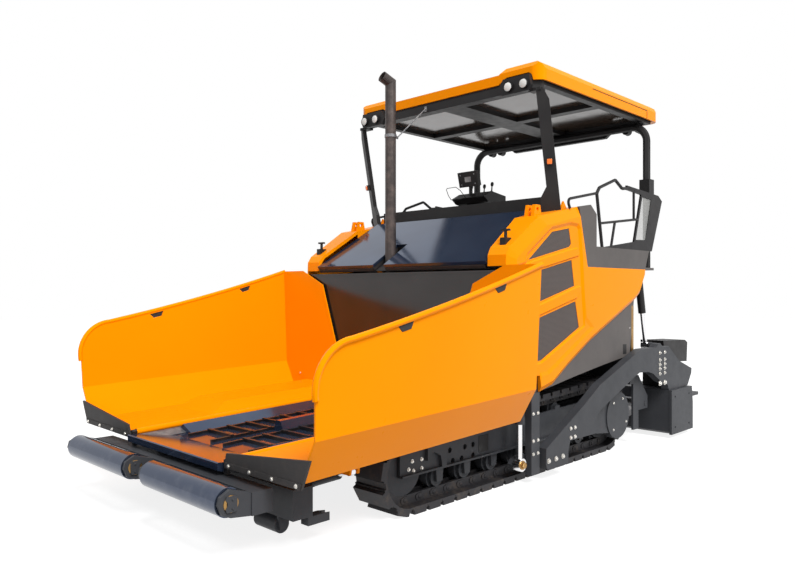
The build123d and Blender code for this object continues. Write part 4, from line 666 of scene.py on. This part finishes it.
def on_lamps(bm, flip, profile):
    for place, way in LAMPS:
        turned(bm, flip @ facing(place, way), profile, 32)


def marker_lenses(bm, flip):
    slab(bm, flip @ facing(*MARKER), MARKER_OUTLINE, 0.0, 0.030)


on_both("lamp_rings", lambda bm, flip: on_lamps(bm, flip, LAMP_RING), BLACK, "chassis")
on_both("lamp_lenses", lambda bm, flip: on_lamps(bm, flip, LAMP_DOME), LENS, "chassis")
on_both("marker_lenses", marker_lenses, AMBER, "chassis", 0.003)


# Wings: dark clips in the rim's notches

NOTCHES = (              # the two ends of each notch in the left wing's rim
    ((1.271, 1.754, 1.770), (1.386, 1.752, 1.738)),
    ((2.320, 1.742, 1.509), (2.437, 1.741, 1.484)),
)
CLIP = [(-0.044, -0.0165), (0.044, -0.0165), (0.0745, 0.028), (-0.0745, 0.028)]


def notch_clips(bm, flip):
    for start, end in NOTCHES:
        along = Vector(end) - Vector(start)
        middle = (Vector(start) + Vector(end)) / 2
        slab(bm, flip @ axes(middle, along, (0, 0.05, 1)), CLIP, -0.004, 0.004)


on_both("notch_clips", notch_clips, RUBBER, "wing_body_left", 0.001)


# Push rollers: brass rings at the axle ends, each behind a bolted keeper plate

ROLLER_AXIS = (3.380, 0.420)         # X and Z
RING_YS = ((1.186, 1), (0.114, -1))  # Y of each ring on the left side, and the way it faces
KEEPER_YS = ((1.194, 1), (0.106, -1))
RING = [(0.054, -0.002), (0.054, 0.005), (0.048, 0.008), (0.034, 0.008), (0.030, 0.003)]
KEEPER = [(-0.036, -0.050), (0.030, -0.050), (0.040, -0.036), (0.040, 0.036), (0.030, 0.050),
          (-0.036, 0.050), (-0.044, 0.030), (-0.030, 0.012), (-0.030, -0.012), (-0.044, -0.030)]


def roller_rings(bm, flip):
    for y, way in RING_YS:
        turned(bm, flip @ facing((ROLLER_AXIS[0], y, ROLLER_AXIS[1]), (0, way, 0)), RING, 28)


def roller_keepers(bm, flip):
    for y, way in KEEPER_YS:
        at = flip @ facing((ROLLER_AXIS[0], y, ROLLER_AXIS[1]), (0, way, 0))
        slab(bm, at, KEEPER, -0.003, 0.006)
        for x in (-0.028, 0.028):
            bolt(bm, at @ Matrix.Translation((0.006, x, 0.006)), 0.008)


on_both("roller_rings", roller_rings, BRASS, "push_beam_body")
on_both("roller_keepers", roller_keepers, FRAME, "push_beam_body", 0.001)


# Hopper floor: covers along the wings' hinges and retainers under the flaps

HOPPER_TIP = 2           # degrees, about its front lip
LIP = Matrix.Translation((3.130, 0, 0.500))
HOPPER = LIP @ Matrix.Rotation(radians(HOPPER_TIP), 4, "Y") @ LIP.inverted()
# takes an outline to Y and Z, and its thickness to X
CROSS = Matrix(((0, 0, 1, 0), (1, 0, 0, 0), (0, 1, 0, 0), (0, 0, 0, 1)))
COVER_SECTION = [(0.585, 0.501), (0.689, 0.537), (0.689, 0.543), (0.585, 0.507)]
COVER_RUNS = ((0.800, 1.560), (1.568, 2.330), (2.338, 3.085))
RETAINER = [(0.735, 0.522), (0.735, 0.562), (1.590, 0.572), (1.575, 0.531)]


def hinge_covers(bm, flip):
    for start, end in COVER_RUNS:
        slab(bm, flip @ HOPPER @ CROSS, COVER_SECTION, start, end)


def flap_retainers(bm, flip):
    slab(bm, flip @ CROSS, RETAINER, 3.137, 3.146)


on_both("hinge_covers", hinge_covers, STEEL, "chassis", 0.001)
on_both("flap_retainers", flap_retainers, RUBBER, "wing_body_left", 0.001)


# Track frames: dark plates inside the rollers, standing in for the inner frame plates; their dark
# colour is painted shade from under the machine, seen between the rollers

def shade_plates_behind_rollers(bm, flip):
    # dark plate where the gaps between the rollers show the shaded underside: painted shade, with
    # bolts on it
    bar(bm, flip, (-0.980, 1.580), (0.973, 0.984), (0.105, 0.360))
    for x in (-0.80, -0.20, 0.40, 1.00, 1.45):
        bolt(bm, flip @ facing((x, 0.973, 0.330), (0, -1, 0)), 0.012)


on_both("shade_plates_behind_rollers", shade_plates_behind_rollers, TRACK, "chassis", 0.002)


# Small plates on the sides

def side_plates(bm, flip):
    """Dark sockets on the body side and the hatch on the track frame."""
    bar(bm, flip, (-1.520, -1.440), (1.360, 1.366), (1.050, 1.157))
    bar(bm, flip, (0.746, 0.882), (1.185, 1.191), (0.328, 0.474))


def hinge_strips(bm, flip):
    """Strip with oblong slots at the body side's rear edge."""
    bar(bm, flip, (-1.690, -1.640), (1.352, 1.3655), (1.055, 1.575))
    for z in (1.10, 1.20, 1.31, 1.42, 1.53):
        bar(bm, flip, (-1.676, -1.654), (1.364, 1.3665), (z - 0.026, z + 0.026))


on_both("side_plates", side_plates, BLACK, "chassis", 0.002)
on_both("hinge_strips", hinge_strips, BRASS, "chassis", 0.002)


# Console: levers, buttons, display and a thin guard

DESK = axes((-0.897, -0.140, 2.8675), (-0.992, 0, -0.126), (0, -1, 0))
DISPLAY = axes((-0.768, -0.210, 3.060), (0, 1, 0), (-0.255, 0, 0.967))
DISPLAY_BACK = axes((-0.7125, -0.210, 3.045), (0, -1, 0), (0.255, 0, 0.967))
LEVER = [(0.034, -0.002), (0.034, 0.004), (0.026, 0.014), (0.018, 0.030), (0.009, 0.036),
         (0.007, 0.090), (0.015, 0.096), (0.019, 0.115), (0.016, 0.134), (0.008, 0.142)]
LEVERS = ((-0.02, 0.15), (0.03, 0.00), (-0.02, -0.15))
SWITCH_YS = (-0.085, -0.060, 0.060, 0.085)
BUTTON = [(0.009, -0.001), (0.009, 0.004), (0.007, 0.006)]
BUTTON_ROWS = (0.060, 0.088)
BUTTONS, BUTTON_START, BUTTON_PITCH = 8, -0.17, 0.048
GUARD = [(-0.628, -0.240, 2.800), (-0.612, -0.330, 2.800), (-0.600, -0.370, 2.810),
         (-0.600, -0.411, 2.863), (-0.600, -0.442, 2.935), (-0.600, -0.430, 2.950),
         (-0.600, -0.298, 2.952), (-0.600, -0.229, 2.905), (-0.628, -0.170, 2.815)]


def console_parts():
    bm = bmesh.new()
    for x, y in LEVERS:
        turned(bm, DESK @ Matrix.Translation((x, y, 0)), LEVER, 18)
    for y in SWITCH_YS:
        bar(bm, DESK, (-0.085, -0.045), (y - 0.009, y + 0.009), (-0.001, 0.010))
    finish("console_levers", bm, BLACK, "chassis", 0.001)
    bm = bmesh.new()
    for i in range(BUTTONS):
        for row in BUTTON_ROWS:
            place = (row, BUTTON_START + i * BUTTON_PITCH, 0)
            turned(bm, DESK @ Matrix.Translation(place), BUTTON, 12)
    finish("console_buttons", bm, BRIGHT, "chassis")
    bm = bmesh.new()
    bar(bm, DISPLAY, (-0.120, 0.120), (-0.070, 0.070), (-0.002, 0.003))
    finish("console_display", bm, SCREEN, "chassis", 0.002)
    bm = bmesh.new()
    bar(bm, DISPLAY_BACK, (-0.045, 0.045), (-0.030, 0.030), (-0.001, 0.006))
    for x in (-0.100, 0.100):
        for y in (-0.055, 0.055):
            bolt(bm, DISPLAY_BACK @ Matrix.Translation((x, y, 0)), 0.006)
    finish("display_bracket", bm, STEEL, "chassis", 0.001)
    wire("console_guard", GUARD, 0.004, BLACK, "chassis")


console_parts()


# Roof: seam along each side

SEAM_YS = (1.267, 1.2735)


def roof_seams(bm, flip):
    bar(bm, flip, (-2.225, -0.950), SEAM_YS, (3.861, 3.866))
    bar(bm, flip, (-2.229, -2.223), SEAM_YS, (3.774, 3.866))


on_both("roof_seams", roof_seams, RUBBER, "chassis")


# Seats: padded cushions, blown up by cloth simulation, with seams

SEAT_YS = (-0.760, 0.760)
BASE_PAD = ((0.470, 0.450, 0.072), (-1.315, 0.0, 2.305))     # size, centre
BACK_PAD = ((0.090, 0.415, 0.295), (-1.535, 0.0, 2.522))
VOXEL, QUICK_VOXEL = 0.010, 0.012
PRESSURE = 4.0
CLOTH_FRAMES = 20
SWELL = 0.018            # furthest that a point of the cover moves out
CHANNEL = 0.007          # half width of a sewn channel
SEAM_REACH = 0.012       # how far from its level a seam looks for points
SEAM_DIRECTIONS = 36     # in half a turn


def block_mesh(size, centre):
    """Closed box of small quads, its corners drawn in."""
    bm = bmesh.new()
    bmesh.ops.create_cube(bm, size=2.0)
    bmesh.ops.subdivide_edges(bm, edges=bm.edges, cuts=7, use_grid_fill=True)
    half = Vector(size) / 2
    for v in bm.verts:
        pull = 1 - 0.10 * (v.co.x * v.co.y) ** 2 - 0.06 * (v.co.y * v.co.z) ** 2
        grown = Vector((v.co.x * half.x * pull, v.co.y * half.y * pull, v.co.z * half.z))
        v.co = grown + Vector(centre)
    mesh = bpy.data.meshes.new("pad")
    bm.to_mesh(mesh)
    bm.free()
    return mesh


def applied(obj):
    """The object's mesh with its modifiers applied."""
    graph = bpy.context.evaluated_depsgraph_get()
    return bpy.data.meshes.new_from_object(obj.evaluated_get(graph))


def swollen(mesh, reach):
    """Blows a closed mesh up like a stuffed cover; no point moves further than the reach."""
    obj = bpy.data.objects.new("swelling", mesh)
    bpy.context.scene.collection.objects.link(obj)
    remesh = obj.modifiers.new("remesh", "REMESH")
    remesh.mode = "VOXEL"
    remesh.voxel_size = VOXEL
    obj.data = applied(obj)
    obj.modifiers.clear()
    start = [v.co.copy() for v in obj.data.vertices]
    cloth = obj.modifiers.new("cloth", "CLOTH")
    cloth.settings.use_pressure = True
    cloth.settings.uniform_pressure_force = PRESSURE
    cloth.settings.effector_weights.gravity = 0.0
    scene = bpy.context.scene
    for frame_number in range(1, CLOTH_FRAMES + 1):
        scene.frame_set(frame_number)
    obj.data = applied(obj)
    obj.modifiers.clear()
    scene.frame_set(1)
    for v, rest in zip(obj.data.vertices, start):
        move = v.co - rest
        if move.length > reach:
            v.co = rest + move * (reach / move.length)
    subdivision = obj.modifiers.new("subdivision", "SUBSURF")
    subdivision.levels = 1
    result = applied(obj)
    bpy.data.objects.remove(obj)
    return result


def sew(mesh, facing_axis, across_axis, lines, depth):
    """Presses sewn channels into the side of a pad that faces an axis."""
    normals = [v.normal.copy() for v in mesh.vertices]
    for v, normal in zip(mesh.vertices, normals):
        if normal[facing_axis[0]] * facing_axis[1] > 0.35:
            gap = min(abs(v.co[across_axis] - line) for line in lines)
            v.co -= normal * depth * exp(-(gap / CHANNEL) ** 2)


def piping(mesh, centre, plane_axis, level):
    """Cord of the cover's own seam round a pad at a level: the widest points in each direction."""
    first, second = [axis for axis in (0, 1, 2) if axis != plane_axis]
    best = {}
    for v in mesh.vertices:
        if abs(v.co[plane_axis] - level) < SEAM_REACH:
            a, b = v.co[first] - centre[first], v.co[second] - centre[second]
            key = int(SEAM_DIRECTIONS * atan2(b, a) / pi)
            if key not in best or hypot(a, b) > best[key][0]:
                best[key] = (hypot(a, b), v.co.copy())
    return [tuple(best[key][1]) for key in sorted(best)]


def seat_pads():
    """A base and a back for each seat, swollen and sewn once and copied to both places."""
    base = swollen(block_mesh(*BASE_PAD), SWELL)
    sew(base, (2, 1), 1, (-0.120, 0.120), 0.006)
    sew(base, (2, 1), 0, (-1.400, -1.230), 0.005)
    back = swollen(block_mesh(*BACK_PAD), SWELL)
    sew(back, (0, 1), 1, (-0.110, 0.110), 0.006)
    seams = ((base, BASE_PAD[1], 2, 2.306, "base"), (back, BACK_PAD[1], 0, -1.537, "back"))
    for side, seat_y in zip(("right", "left"), SEAT_YS):
        for mesh, centre, axis, level, part in seams:
            cover = mesh.copy()
            cover.transform(Matrix.Translation((0, seat_y, 0)))
            cover.materials.clear()
            cover.materials.append(VINYL)
            cover.polygons.foreach_set("use_smooth", [True] * len(cover.polygons))
            piece = bpy.data.objects.new(f"seat_{part}_pad_{side}", cover)
            bpy.context.scene.collection.objects.link(piece)
            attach(piece, "chassis")
            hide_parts("seat_cushions")
            line = [(x, y + seat_y, z) for x, y, z in piping(mesh, centre, axis, level)]
            wire(f"seat_{part}_seam_{side}", line, 0.0035, BLACK, "chassis", closed=True)


seat_pads()


stage()
for light in LIGHTS:
    area_light(*light)
camera()
